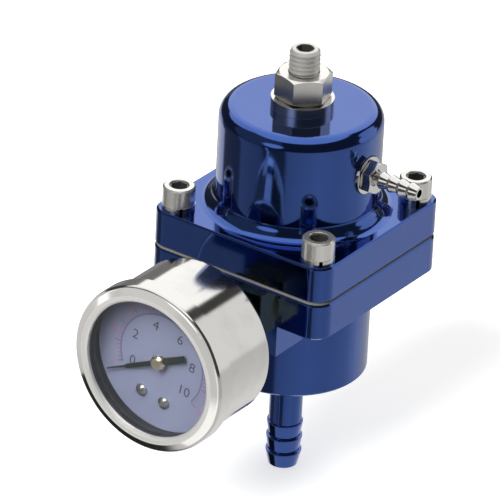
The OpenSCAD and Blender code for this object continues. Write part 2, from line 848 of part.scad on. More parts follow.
// Stem outside the case, the block that carries the movement and the tube's riser
module gauge_socket() {
    collar_d = 14;
    riser_w = 4.4;
    riser_t = bourdon_t + 1;
    foot_dir = bourdon_start - 3;
    block_z = case_back_t;
    block_h = socket_block_h - case_back_t;
    arm_h = 3.2;
    bar = [2 * pillar_x + pillar_d, pillar_d + 1.6];
    square_z = -1.5 - stem_square_l;
    color(BRASS)
    gauge_frame()
        difference() {
            union() {
                translate([0, 0, stem_foot + 0.3])
                    cylinder(d = port_thread_d, h = -stem_foot - 1);
                translate([-stem_square / 2, -stem_square / 2, square_z])
                    cube([stem_square, stem_square, stem_square_l]);
                translate([0, 0, -1.5])
                    cylinder(d = collar_d, h = 1.5);
                translate([0, 0, -0.5])
                    cylinder(d = stem_neck_d, h = socket_block_h + 0.5);
                translate([-bar[0] / 2, -pillar_y - bar[1] / 2, block_z])
                    cube([bar[0], bar[1], block_h]);
                rotate([0, 0, foot_dir]) {
                    translate([0, -riser_w / 2, block_z])
                        cube([bourdon_d / 2 + riser_t / 2, riser_w, arm_h]);
                    translate([bourdon_d / 2 - riser_t / 2, -riser_w / 2, block_z])
                        cube([riser_t, riser_w, bourdon_z + bourdon_h + 0.5 - block_z]);
                }
            }
            translate([0, 0, stem_foot - 1])
                cylinder(d = stem_bore_d, h = -stem_foot + case_back_t + 2);
            for (p = pillar_pos)
                translate([p[0], p[1], case_back_t + 1])
                    cylinder(d = small_screw_d + 2 * thread_clear, h = socket_block_h);
            translate([0, 0, socket_block_h - 1])
                cylinder(d = arbor_d + 4 * running_clear, h = 2);
        }
}

module gauge_case() {
    r = case_d / 2;
    color(CHROME)
    gauge_frame()
        rotate_extrude()
            difference() {
                union() {
                    translate([0, case_edge_r])
                        square([r, case_depth - case_edge_r]);
                    square([r - case_edge_r, case_depth]);
                    translate([r - case_edge_r, case_edge_r])
                        circle(r = case_edge_r);
                }
                translate([0, case_back_t])
                    square([case_bore_d / 2, case_depth]);
                translate([0, -1])
                    square([stem_neck_d / 2 + thread_clear, case_back_t + 2]);
            }
}

module gauge_bezel() {
    r = bezel_d / 2;
    open_r = bezel_open_d / 2;
    lip_c = 0.5;
    flat_r = open_r + bezel_flat_w;
    fall_r = r - bezel_edge_r * (1 - sin(bezel_fall));
    fall_z = bezel_front - (fall_r - flat_r) * tan(bezel_fall);
    edge_z = fall_z - bezel_edge_r * cos(bezel_fall);
    color(CHROME)
    gauge_frame()
        rotate_extrude()
            difference() {
                union() {
                    polygon([
                        [open_r, bezel_back], [r, bezel_back], [r, edge_z],
                        [fall_r, fall_z], [flat_r, bezel_front], [open_r, bezel_front]
                    ]);
                    translate([r - bezel_edge_r, edge_z])
                        circle(r = bezel_edge_r);
                }
                translate([0, bezel_back - 1])
                    square([case_d / 2 + thread_clear, bezel_len - bezel_lip_t + 1]);
                polygon([
                    [open_r - 1, bezel_front + 1], [open_r + lip_c + 1, bezel_front + 1],
                    [open_r - 1, bezel_front - lip_c - 1]
                ]);
            }
}

module gauge_window() {
    color("lightblue", 0.4)
    gauge_frame()
        translate([0, 0, case_depth + gasket_t])
            cylinder(d = window_d, h = window_t);
}

module window_gasket() {
    color(RUBBER)
    gauge_frame()
        translate([0, 0, case_depth])
            ring(window_d, gasket_open_d, gasket_t);
}

module gauge_dial() {
    color("#a2abc2")
    gauge_frame()
        translate([0, 0, dial_z])
            difference() {
                cylinder(d = dial_d, h = dial_t);
                translate([0, 0, -1])
                    cylinder(d = arbor_d + 1, h = dial_t + 2);
                for (p = dial_screw_pos)
                    translate([p[0], p[1], -1])
                        cylinder(d = small_screw_d + 2 * hole_clear, h = dial_t + 2);
            }
}

// Black spacer on the dial's rim, which the gasket holds down
module dial_ring() {
    color(RUBBER)
    gauge_frame()
        translate([0, 0, dial_z + dial_t])
            ring(case_bore_d - 2 * window_clear, gasket_open_d, case_depth - dial_z - dial_t);
}

// Slotted cheese-head screw with the underside of its head at z = 0
module small_screw(length, head_h) {
    slot_w = 0.6;
    head_r = small_head_d / 2;
    dome_h = 0.6 * head_h;
    head_dome_r = (head_r * head_r + dome_h * dome_h) / (2 * dome_h);
    difference() {
        union() {
            rotate_extrude()
                intersection() {
                    square([head_r, head_h]);
                    translate([0, head_h - head_dome_r])
                        circle(r = head_dome_r);
                }
            translate([0, 0, -length])
                cylinder(d = small_screw_d, h = length + head_h / 2);
        }
        translate([-small_head_d, -slot_w / 2, head_h / 2])
            cube([2 * small_head_d, slot_w, head_h]);
    }
}

module dial_screws() {
    color(CHROME)
    gauge_frame()
        for (p = dial_screw_pos)
            translate([p[0], p[1], dial_z + dial_t])
                rotate([0, 0, 40])
                    small_screw(dial_t + dial_post_len - 0.2, small_head_h);
}

module pointer() {
    widths = [
        [-pointer_tail, pointer_tail_w], [-hub_d / 2, pointer_tail_w], [0, pointer_w],
        [pointer_blade, pointer_w], [pointer_blade + pointer_w, pointer_tip_w],
        [pointer_len, pointer_tip_w / 2]
    ];
    outline = concat(
        [for (w = widths) [w[0], -w[1] / 2]],
        [for (i = [len(widths) - 1 : -1 : 0]) [widths[i][0], widths[i][1] / 2]]
    );
    color(RUBBER)
    gauge_frame()
        translate([0, 0, pointer_z])
            rotate([0, 0, pointer_rest])
                linear_extrude(height = pointer_t)
                    difference() {
                        union() {
                            polygon(outline);
                            circle(d = hub_d * 0.8);
                        }
                        circle(d = arbor_d + 2 * thread_clear);
                    }
}

module pointer_hub() {
    color(BRASS)
    gauge_frame()
        translate([0, 0, pointer_z + pointer_t])
            difference() {
                rotate_extrude()
                    polygon([[0, 0], [hub_d / 2, 0], [hub_d / 2, hub_h * 0.6], [hub_d / 2 - 0.5, hub_h], [0, hub_h]]);
                translate([0, 0, -1])
                    cylinder(d = arbor_d + 2 * thread_clear, h = hub_h * 0.6 + 1);
            }
}

// Straight-sided gear teeth with generous backlash, one at each angle
module teeth(angles, pitch_r) {
    tip = 0.8 * gear_module;
    root = gear_module;
    for (a = angles)
        rotate([0, 0, a])
            polygon([
                [pitch_r - root - 0.1, -0.55 * gear_module], [pitch_r + tip, -0.28 * gear_module],
                [pitch_r + tip, 0.28 * gear_module], [pitch_r - root - 0.1, 0.55 * gear_module]
            ]);
}

module pinion_arbor() {
    root_r = pinion_r - gear_module;
    angles = [for (i = [0 : pinion_teeth - 1]) sector_dir + (i + 0.5) * 360 / pinion_teeth];
    color(STEEL)
    gauge_frame() {
        translate([0, 0, rear_plate_z + 0.1])
            cylinder(d = arbor_d, h = pointer_z + pointer_t + hub_h * 0.5 - rear_plate_z - 0.1);
        translate([0, 0, sector_z - 0.3])
            linear_extrude(height = sector_t + 0.6) {
                circle(r = root_r);
                teeth(angles, pinion_r);
            }
        translate([0, 0, hairspring_z - 0.2])
            cylinder(d = arbor_d + 0.8, h = hairspring_h + 0.4);
    }
}

// Toothed sector on its own pivot pin, with a tail that the link pulls
module sector_gear() {
    pitch = 360 / sector_teeth;
    spare = 1;
    count = floor(sector_swing / pitch) + 2 * spare;
    angles = [for (i = [-spare : count - spare]) sector_mid + sector_swing / 2 - i * pitch];
    root_r = sector_r - gear_module;
    span = sector_swing + 2 * (spare + 0.5) * pitch;
    color(BRASS)
    gauge_frame()
        translate([pivot[0], pivot[1], 0]) {
            translate([0, 0, rear_plate_z + 0.1])
                cylinder(d = pivot_pin_d, h = front_plate_z + movement_plate_t - rear_plate_z - 0.2);
            translate([0, 0, sector_z])
                linear_extrude(height = sector_t) {
                    circle(d = sector_hub_d);
                    teeth(angles, sector_r);
                    intersection() {
                        difference() {
                            circle(r = root_r);
                            circle(r = root_r - sector_rim_w);
                        }
                        polygon(concat([[0, 0]], [for (k = [-2 : 2])
                            2 * sector_r * [cos(sector_mid + k * span / 4), sin(sector_mid + k * span / 4)]]));
                    }
                    for (side = [-1, 0, 1])
                        rotate([0, 0, sector_mid + side * (span / 2 - 6)])
                            translate([0, -sector_arm_w / 2])
                                square([root_r - sector_rim_w / 2, sector_arm_w]);
                    rotate([0, 0, tail_dir]) {
                        translate([0, -eye_r])
                            square([tail_r, 2 * eye_r]);
                        translate([tail_r, 0])
                            circle(r = eye_r);
                    }
                }
            translate([tail_pin[0] - pivot[0], tail_pin[1] - pivot[1], sector_z])
                cylinder(d = link_pin_d, h = link_z + link_t + 0.3 - sector_z);
        }
}

module link() {
    color(STEEL)
    gauge_frame()
        translate([tail_pin[0], tail_pin[1], link_z])
            rotate([0, 0, sector_dir])
                linear_extrude(height = link_t)
                    difference() {
                        union() {
                            circle(r = eye_r);
                            translate([link_len, 0])
                                circle(r = eye_r);
                            translate([0, -eye_r / 2])
                                square([link_len, eye_r]);
                        }
                        circle(d = link_pin_d + 2 * running_clear);
                        translate([link_len, 0])
                            circle(d = link_pin_d + 2 * running_clear);
                    }
}

// Rear and front movement plates, the front one with the hairspring's stud
module movement_plates() {
    color(BRASS)
    gauge_frame() {
        for (z = [rear_plate_z, front_plate_z])
            translate([0, 0, z])
                difference() {
                    cylinder(d = movement_plate_d, h = movement_plate_t);
                    translate([0, 0, -1])
                        cylinder(d = arbor_d + 2 * running_clear, h = movement_plate_t + 2);
                    translate([pivot[0], pivot[1], -1])
                        cylinder(d = pivot_pin_d + 2 * running_clear, h = movement_plate_t + 2);
                    for (p = pillar_pos)
                        translate([p[0], p[1], -1])
                            cylinder(d = small_screw_d + 2 * hole_clear, h = movement_plate_t + 2);
                }
        translate([0, -hairspring_stud_r, hairspring_z - 0.2])
            cylinder(d = hairspring_stud_d, h = front_plate_z - hairspring_z + 0.4);
    }
}

// Pillars between the movement plates and posts under the dial
module movement_pillars() {
    color(BRASS)
    gauge_frame() {
        for (p = pillar_pos)
            translate([p[0], p[1], rear_plate_z + movement_plate_t])
                ring(pillar_d, small_screw_d + 2 * hole_clear, pillar_len);
        for (p = dial_screw_pos)
            translate([p[0], p[1], front_plate_z + movement_plate_t])
                ring(pillar_d, small_screw_d + 2 * thread_clear, dial_post_len);
    }
}

module movement_screws() {
    color(STEEL)
    gauge_frame()
        for (p = pillar_pos)
            translate([p[0], p[1], front_plate_z + movement_plate_t])
                small_screw(2 * movement_plate_t + pillar_len + 3, small_head_h);
}

module hairspring() {
    steps = 32;
    turns = 3;
    strip = 0.14;
    inner_r = arbor_d / 2 + 0.4 + strip + 0.05;
    outer_r = hairspring_stud_r - hairspring_stud_d / 2 - strip - 0.05;
    count = steps * turns;
    outward = [for (i = [0 : count]) let (a = 360 * i / steps - 90) [cos(a), sin(a), 0]];
    centres = [for (i = [0 : count])
        (inner_r + (outer_r - inner_r) * i / count) * outward[i]
        + [0, 0, hairspring_z + hairspring_h / 2]];
    color(STEEL)
    gauge_frame()
        wire(centres, outward, strip, 6);
}

// Flattened tube bent into a C, with a lug and pin at its free end for the link
module bourdon_tube() {
    flat_r = bourdon_t / 2;
    lug_in = min(tip_r, bourdon_d / 2) - flat_r;
    lug_out = max(tip_r, bourdon_d / 2) + flat_r;
    color(BRASS)
    gauge_frame() {
        rotate([0, 0, bourdon_start])
            rotate_extrude(angle = bourdon_end - bourdon_start)
                translate([bourdon_d / 2, bourdon_z]) {
                    translate([-flat_r, flat_r])
                        square([bourdon_t, bourdon_h - bourdon_t]);
                    for (z = [flat_r, bourdon_h - flat_r])
                        translate([0, z])
                            circle(r = flat_r);
                }
        rotate([0, 0, bourdon_end - 3])
            rotate_extrude(angle = tip_angle - bourdon_end + 6)
                translate([lug_in, lug_z])
                    square([lug_out - lug_in, lug_t]);
        translate([tip_pin[0], tip_pin[1], link_z - 0.2])
            cylinder(d = link_pin_d - 0.1, h = lug_z - link_z + 0.3);
    }
}

spring_cover();
lower_body();
diaphragm();
cap_screws();
lock_washers();
adjusting_screw();
lock_nut();
flat_washer();
spring_button();
main_spring();
upper_plate();
lower_plate();
stack_stud();
stack_nut();
valve_disc();
valve_seat();
return_barb();
inlet_barb();
port_washers();
vacuum_nipple();
nipple_washer();
gauge_socket();
gauge_case();
gauge_bezel();
gauge_window();
window_gasket();
gauge_dial();
dial_ring();
dial_screws();
pointer();
pointer_hub();
pinion_arbor();
sector_gear();
link();
movement_plates();
movement_pillars();
movement_screws();
hairspring();
bourdon_tube();
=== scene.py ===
import math

import bpy
from bpy.props import FloatProperty, FloatVectorProperty, PointerProperty
from mathutils import Matrix, Vector


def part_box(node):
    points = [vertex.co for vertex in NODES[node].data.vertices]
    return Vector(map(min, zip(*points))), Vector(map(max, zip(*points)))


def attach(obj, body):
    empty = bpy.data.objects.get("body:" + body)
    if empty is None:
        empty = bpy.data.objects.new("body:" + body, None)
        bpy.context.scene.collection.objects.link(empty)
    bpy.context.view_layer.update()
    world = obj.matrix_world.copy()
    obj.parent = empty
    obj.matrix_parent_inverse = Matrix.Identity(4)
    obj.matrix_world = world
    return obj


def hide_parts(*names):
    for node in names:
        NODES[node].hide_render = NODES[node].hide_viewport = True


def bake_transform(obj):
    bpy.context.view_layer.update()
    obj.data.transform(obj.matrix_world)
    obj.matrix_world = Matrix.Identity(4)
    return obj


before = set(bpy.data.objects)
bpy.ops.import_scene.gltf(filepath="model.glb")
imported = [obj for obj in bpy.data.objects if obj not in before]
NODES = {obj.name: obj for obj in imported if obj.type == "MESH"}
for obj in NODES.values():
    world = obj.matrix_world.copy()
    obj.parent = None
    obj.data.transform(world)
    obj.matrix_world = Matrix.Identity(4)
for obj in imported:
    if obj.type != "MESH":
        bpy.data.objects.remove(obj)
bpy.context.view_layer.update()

bl_info = {
    "name": "Fuel pressure regulator looks",
    "version": (1, 0, 0),
    "blender": (4, 5, 0),
    "location": "3D View > Sidebar > Regulator",
    "description": "Finishes, thread, dial print and stage for an adjustable fuel pressure regulator",
    "category": "Object",
}

MM = 0.001
# A cut through a mesh keeps to its plane this closely.
CUT_TOLERANCE = 0.0001 * MM
# Points of a mesh that are nearer than this become one.
MERGE_DISTANCE = 0.001 * MM
# Share of a metal's own colour that is left where it is tarnished, and under painted shade in hollows.
TARNISH_LIGHT = 0.92
PAINTED_SHADE_LIGHT = 0.12

# The gauge's dial faces -Y, and its print lies on the dial's front.
DIAL_LOW, DIAL_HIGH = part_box("gauge_dial")
DIAL_FACE = Vector(((DIAL_LOW.x + DIAL_HIGH.x) / 2, DIAL_LOW.y, (DIAL_LOW.z + DIAL_HIGH.z) / 2))
DIAL_FRAME = Matrix.Translation(DIAL_FACE) @ Matrix.Rotation(math.radians(90), 4, "X")

SCREW_LOW, SCREW_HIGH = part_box("adjusting_screw")
SPRING_LOW, SPRING_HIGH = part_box("main_spring")


def linear(hex_colour):
    """An sRGB hex value as a linear red, green, blue and alpha."""
    parts = [int(hex_colour[i:i + 2], 16) / 255 for i in (1, 3, 5)]
    return tuple(p / 12.92 if p <= 0.04045 else ((p + 0.055) / 1.055) ** 2.4 for p in parts) + (1.0,)


def shaded(colour, share):
    """A colour with this share of its light, and an alpha of one."""
    return tuple(share * part for part in colour[:3]) + (1.0,)


def per(size_mm):
    """Texture scale that gives a pattern features of this size on Object coordinates in metres."""
    return 1 / (size_mm * MM)


def add(tree, kind, inputs=None, stops=None, **settings):
    """Add one shader node, set its fields and ramp stops, and set or link its inputs by name or place."""
    made = tree.nodes.new("ShaderNode" + kind)
    for field, value in settings.items():
        setattr(made, field, value)
    for place, (position, value) in enumerate(stops or []):
        ramp = made.color_ramp.elements
        stop = ramp[place] if place < 2 else ramp.new(position)
        stop.position = position
        stop.color = (value, value, value, 1) if isinstance(value, float) else value
    for name, value in (inputs or {}).items():
        if isinstance(value, bpy.types.NodeSocket):
            tree.links.new(value, made.inputs[name])
        else:
            made.inputs[name].default_value = value
    return made


def new_material(name):
    """An empty node material with its output, as (material, tree, output)."""
    material = bpy.data.materials.new(name)
    material.use_nodes = True
    material.node_tree.nodes.clear()
    return material, material.node_tree, add(material.node_tree, "OutputMaterial")


def colour_of(name):
    """A colour from the panel's settings, with an alpha of one."""
    return tuple(getattr(bpy.context.scene.regulator_colours, name)) + (1.0,)


def anodised_aluminium():
    # Turned and milled aluminium, polished and then dyed deep blue by anodising. The clear oxide film
    # over the dyed metal gives a second, colourless gloss; corners are painted paler, as wear and
    # highlight.
    material, tree, output = new_material("blue_anodised_aluminium")
    place = add(tree, "TexCoord").outputs["Object"]
    # Polishing lines run round the main axis. Real ones are near 0.02 mm; 0.2 mm still shows.
    lines_at = add(tree, "Mapping", {"Vector": place, "Scale": (per(30), per(30), per(0.2))})
    lines = add(tree, "TexNoise", {"Vector": lines_at.outputs[0], "Scale": 1.0, "Detail": 3.0})
    cloud = add(tree, "TexNoise", {"Vector": place, "Scale": per(16), "Detail": 2.0})
    rounded = add(tree, "Bevel", {"Radius": 0.25 * MM}, samples=4)
    surface = add(tree, "NewGeometry")
    flatness = add(
        tree, "VectorMath",
        {0: rounded.outputs[0], 1: surface.outputs["Normal"]}, operation="DOT_PRODUCT",
    )
    # Partly wear, partly painted highlight: edges, where the rounded normal leaves the flat one, go paler.
    wear_and_highlight = add(tree, "MapRange", {
        "Value": flatness.outputs["Value"], "From Min": 0.985, "From Max": 0.8,
        "To Min": 0.0, "To Max": 0.35,
    })
    dye = add(
        tree, "Mix",
        {"Factor": cloud.outputs["Fac"], "A": colour_of("anodise_deep"), "B": colour_of("anodise")},
        data_type="RGBA",
    )
    worn_and_highlighted = add(
        tree, "Mix",
        {"Factor": wear_and_highlight.outputs[0], "A": dye.outputs["Result"], "B": colour_of("anodise_worn_highlight")},
        data_type="RGBA",
    )
    rough = add(tree, "MapRange", {"Value": lines.outputs["Fac"], "To Min": 0.05, "To Max": 0.13})
    relief = add(tree, "Bump", {
        "Height": lines.outputs["Fac"], "Normal": rounded.outputs[0],
        "Strength": 0.04, "Distance": 0.02 * MM,
    })
    shader = add(tree, "BsdfPrincipled", {
        "Base Color": worn_and_highlighted.outputs["Result"], "Metallic": 1.0, "Roughness": rough.outputs[0],
        "Normal": relief.outputs[0], "Coat Weight": 0.6, "Coat IOR": 1.6, "Coat Roughness": 0.03,
    })
    tree.links.new(shader.outputs[0], output.inputs[0])
    return material


def bright_metal(name, colour, roughness, lines_mm, relief_strength, socket=None, matt=0.0):
    """A bare or plated metal with fine lines, spaced in mm along X, Y and Z, in its gloss and relief.

    A socket, given as its axis' distance from the planes X = 0 and Y = 0, its radius and the share of
    light that is left in it, gets painted shade inside. Matt is the share that scatters light as paint
    does.
    """
    material, tree, output = new_material(name)
    place = add(tree, "TexCoord").outputs["Object"]
    lines_at = add(tree, "Mapping", {"Vector": place, "Scale": tuple(per(s) for s in lines_mm)})
    lines = add(tree, "TexNoise", {"Vector": lines_at.outputs[0], "Scale": 1.0, "Detail": 3.0})
    stain = add(tree, "TexNoise", {"Vector": place, "Scale": per(5), "Detail": 4.0})
    tarnish = add(tree, "MapRange", {"Value": stain.outputs["Fac"], "From Min": 0.45, "From Max": 0.75})
    tint = add(
        tree, "Mix",
        {"Factor": tarnish.outputs[0], "A": colour, "B": shaded(colour, TARNISH_LIGHT)},
        data_type="RGBA",
    )
    # Painted shade: the colour darkens where nearby surfaces hem it in, as in thread roots, under heads
    # and above all in sockets.
    open_sky = add(tree, "AmbientOcclusion", {"Distance": 1.5 * MM}, samples=8)
    exposed = add(tree, "MapRange", {"Value": open_sky.outputs["AO"], "From Min": 0.1, "From Max": 0.3})
    unshaded = exposed.outputs[0]
    # Painted shade inside a socket, leaving the given share of light.
    if socket:
        offset, radius, light_left_in_shade = socket
        rim = 0.05 * MM
        axis = (offset, offset, 0)
        quarter = add(tree, "VectorMath", {0: place}, operation="ABSOLUTE")
        apart = add(tree, "VectorMath", {0: quarter.outputs[0], 1: axis}, operation="SUBTRACT")
        level = add(tree, "VectorMath", {0: apart.outputs[0], 1: (1, 1, 0)}, operation="MULTIPLY")
        distance = add(tree, "VectorMath", {0: level.outputs[0]}, operation="LENGTH")
        outside = add(tree, "MapRange", {
            "Value": distance.outputs["Value"], "From Min": radius - rim, "From Max": radius + rim,
            "To Min": light_left_in_shade,
        })
        unshaded = add(tree, "Math", {0: unshaded, 1: outside.outputs[0]}, operation="MULTIPLY").outputs[0]
    shade_painted = add(tree, "Mix", {
        "Factor": unshaded, "A": shaded(colour, PAINTED_SHADE_LIGHT), "B": tint.outputs["Result"],
    }, data_type="RGBA")
    low, high = roughness
    rough = add(tree, "MapRange", {"Value": lines.outputs["Fac"], "To Min": low, "To Max": high})
    rounded = add(tree, "Bevel", {"Radius": 0.15 * MM}, samples=4)
    relief = add(tree, "Bump", {
        "Height": lines.outputs["Fac"], "Normal": rounded.outputs[0],
        "Strength": relief_strength, "Distance": 0.02 * MM,
    })
    shader = add(tree, "BsdfPrincipled", {
        "Base Color": shade_painted.outputs["Result"], "Metallic": 1.0 - matt, "Roughness": rough.outputs[0],
        "Normal": relief.outputs[0],
    })
    tree.links.new(shader.outputs[0], output.inputs[0])
    return material


def dull_coat(name, colour, fleck, grain_mm, roughness, relief_strength):
    """Rubber, paint or ink: a dielectric whose colour and gloss vary by a grain of this size."""
    material, tree, output = new_material(name)
    place = add(tree, "TexCoord").outputs["Object"]
    grain = add(tree, "TexNoise", {"Vector": place, "Scale": per(grain_mm), "Detail": 4.0})
    tint = add(
        tree, "Mix", {"Factor": grain.outputs["Fac"], "A": colour, "B": fleck}, data_type="RGBA"
    )
    low, high = roughness
    rough = add(tree, "MapRange", {"Value": grain.outputs["Fac"], "To Min": low, "To Max": high})
    relief = add(tree, "Bump", {
        "Height": grain.outputs["Fac"], "Strength": relief_strength, "Distance": 0.05 * MM,
    })
    shader = add(tree, "BsdfPrincipled", {
        "Base Color": tint.outputs["Result"], "Roughness": rough.outputs[0], "Normal": relief.outputs[0],
    })
    tree.links.new(shader.outputs[0], output.inputs[0])
    return material


def bezel_chrome():
    # Spun brass ring under chrome. Its flat lip is satin from a blasting, the round edge is polished.
    satin_until = 19.9 * MM
    polished_from = 20.3 * MM
    material, tree, output = new_material("satin_and_polished_chrome")
    place = add(tree, "TexCoord").outputs["Object"]
    from_axis = add(tree, "VectorMath", {0: place, 1: (DIAL_FACE.x, 0, DIAL_FACE.z)}, operation="SUBTRACT")
    flat = add(tree, "VectorMath", {0: from_axis.outputs[0], 1: (1, 0, 1)}, operation="MULTIPLY")
    radius = add(tree, "VectorMath", {0: flat.outputs[0]}, operation="LENGTH").outputs["Value"]
    edge = add(tree, "MapRange", {"Value": radius, "From Min": satin_until, "From Max": polished_from})
    grit = add(tree, "TexNoise", {"Vector": place, "Scale": per(0.35), "Detail": 3.0})
    satin = add(tree, "MapRange", {"Value": grit.outputs["Fac"], "To Min": 0.48, "To Max": 0.62})
    gloss = add(tree, "MapRange", {"Value": grit.outputs["Fac"], "To Min": 0.08, "To Max": 0.14})
    rough = add(tree, "Mix", {
        "Factor": edge.outputs[0], "A": satin.outputs[0], "B": gloss.outputs[0],
    })
    relief = add(tree, "Bump", {
        "Height": grit.outputs["Fac"], "Strength": 0.05, "Distance": 0.02 * MM,
    })
    shader = add(tree, "BsdfPrincipled", {
        "Base Color": colour_of("chrome"), "Metallic": 1.0, "Roughness": rough.outputs[0],
        "Normal": relief.outputs[0],
    })
    tree.links.new(shader.outputs[0], output.inputs[0])
    return material


def window_glass():
    # Flat float glass, fire-polished. Shadow rays pass straight through it, dimmed, to light the dial.
    material, tree, output = new_material("clear_window_glass")
    place = add(tree, "TexCoord").outputs["Object"]
    smear = add(tree, "TexNoise", {"Vector": place, "Scale": per(9), "Detail": 3.0})
    rough = add(tree, "MapRange", {"Value": smear.outputs["Fac"], "To Min": 0.0, "To Max": 0.03})
    shader = add(tree, "BsdfPrincipled", {
        "Base Color": (0.97, 0.985, 0.98, 1), "Roughness": rough.outputs[0], "IOR": 1.5,
        "Transmission Weight": 1.0,
    })
    clear = add(tree, "BsdfTransparent", {"Color": (0.68, 0.69, 0.69, 1)})
    path = add(tree, "LightPath")
    mixed = add(tree, "MixShader", {
        0: path.outputs["Is Shadow Ray"], 1: shader.outputs[0], 2: clear.outputs[0],
    })
    tree.links.new(mixed.outputs[0], output.inputs[0])
    return material


def finish_nodes(material, *names):
    """Put a material on every slot of these CAD nodes."""
    for name in names:
        for slot in NODES[name].material_slots:
            slot.material = material


def start_piece(name):
    """Name the mesh that was just added, which is the active object, and return it."""
    piece = bpy.context.active_object
    piece.name = name
    piece.data.name = name
    return piece


def deselect_all():
    """Go back to object mode with nothing selected."""
    if bpy.context.mode != "OBJECT":
        bpy.ops.object.mode_set(mode="OBJECT")
    bpy.ops.object.select_all(action="DESELECT")


def pick(piece):
    """Make one object the only selected one and the active one."""
    deselect_all()
    piece.select_set(True)
    bpy.context.view_layer.objects.active = piece


def apply_modifier(piece, kind, **settings):
    """Add a modifier to a piece and apply it at once."""
    pick(piece)
    modifier = piece.modifiers.new(kind.lower(), kind)
    for field, value in settings.items():
        setattr(modifier, field, value)
    bpy.ops.object.modifier_apply(modifier=modifier.name)


def paint(piece, material):
    """Make this the only material of a piece."""
    piece.data.materials.clear()
    piece.data.materials.append(material)


def close_mesh(merge=True, fill=False):
    """Merge the active mesh's doubled points and fill its holes, if asked, and turn all faces outward."""
    bpy.ops.object.mode_set(mode="EDIT")
    bpy.ops.mesh.select_all(action="SELECT")
    if merge:
        bpy.ops.mesh.remove_doubles(threshold=MERGE_DISTANCE)
    if fill:
        bpy.ops.mesh.fill_holes(sides=0)
        bpy.ops.mesh.select_all(action="SELECT")
    bpy.ops.mesh.normals_make_consistent(inside=False)
    bpy.ops.object.mode_set(mode="OBJECT")


def put_on_dial(piece):
    """Move a flat piece, drawn about the origin in XY, on to the dial's front and fix it there."""
    pick(piece)
    piece.matrix_world = DIAL_FRAME @ piece.matrix_world
    bpy.ops.object.transform_apply(location=True, rotation=True, scale=True)


def on_dial(clock_deg, radius):
    """The X and Y of a point on the dial, from its clock angle and its distance from the centre."""
    angle = math.radians(90 - clock_deg)
    return radius * math.cos(angle), radius * math.sin(angle)


class RegulatorSizes(bpy.types.PropertyGroup):
    """Sizes of what is modelled here."""

    thread_pitch: FloatProperty(
        name="Thread pitch", description="Pitch of the adjusting screw's thread",
        default=1.25 * MM, min=0.5 * MM, unit="LENGTH")
    thread_depth: FloatProperty(
        name="Thread depth", description="Depth of the adjusting screw's thread",
        default=0.42 * MM, min=0.1 * MM, unit="LENGTH")
    socket_width: FloatProperty(
        name="Socket width", description="Across flats of the adjusting screw's socket",
        default=4 * MM, min=1 * MM, unit="LENGTH")
    socket_depth: FloatProperty(
        name="Socket depth", description="Depth of the adjusting screw's socket",
        default=4 * MM, min=1 * MM, unit="LENGTH")
    end_chamfer: FloatProperty(
        name="End chamfer", description="Chamfer on the adjusting screw's ends",
        default=0.7 * MM, min=0.1 * MM, unit="LENGTH")
    spring_wire: FloatProperty(
        name="Spring wire", description="Diameter of the main spring's wire",
        default=2.8 * MM, min=1 * MM, unit="LENGTH")
    scale_radius: FloatProperty(
        name="Scale radius", description="Radius of the dial's scale arc",
        default=12.7 * MM, min=5 * MM, unit="LENGTH")
    scale_sweep: FloatProperty(
        name="Scale sweep", description="Angle from the first to the last mark",
        default=math.radians(240), subtype="ANGLE")
    scale_turn: FloatProperty(
        name="Scale turn", description="Clockwise turn of the dial in its case",
        default=math.radians(11), subtype="ANGLE")
    numeral_radius: FloatProperty(
        name="Numeral radius", description="Distance of the inner numerals from the centre",
        default=9.5 * MM, min=4 * MM, unit="LENGTH")
    numeral_size: FloatProperty(
        name="Numeral size", description="Type size of the inner numerals",
        default=3.9 * MM, min=1 * MM, unit="LENGTH")
    outer_radius: FloatProperty(
        name="Outer numeral radius", description="Distance of the outer numerals from the centre",
        default=15.6 * MM, min=4 * MM, unit="LENGTH")
    outer_size: FloatProperty(
        name="Outer numeral size", description="Type size of the outer numerals",
        default=2.7 * MM, min=1 * MM, unit="LENGTH")
    ink_height: FloatProperty(
        name="Ink height", description="How far the print stands off the dial",
        default=0.02 * MM, min=0.005 * MM, unit="LENGTH")


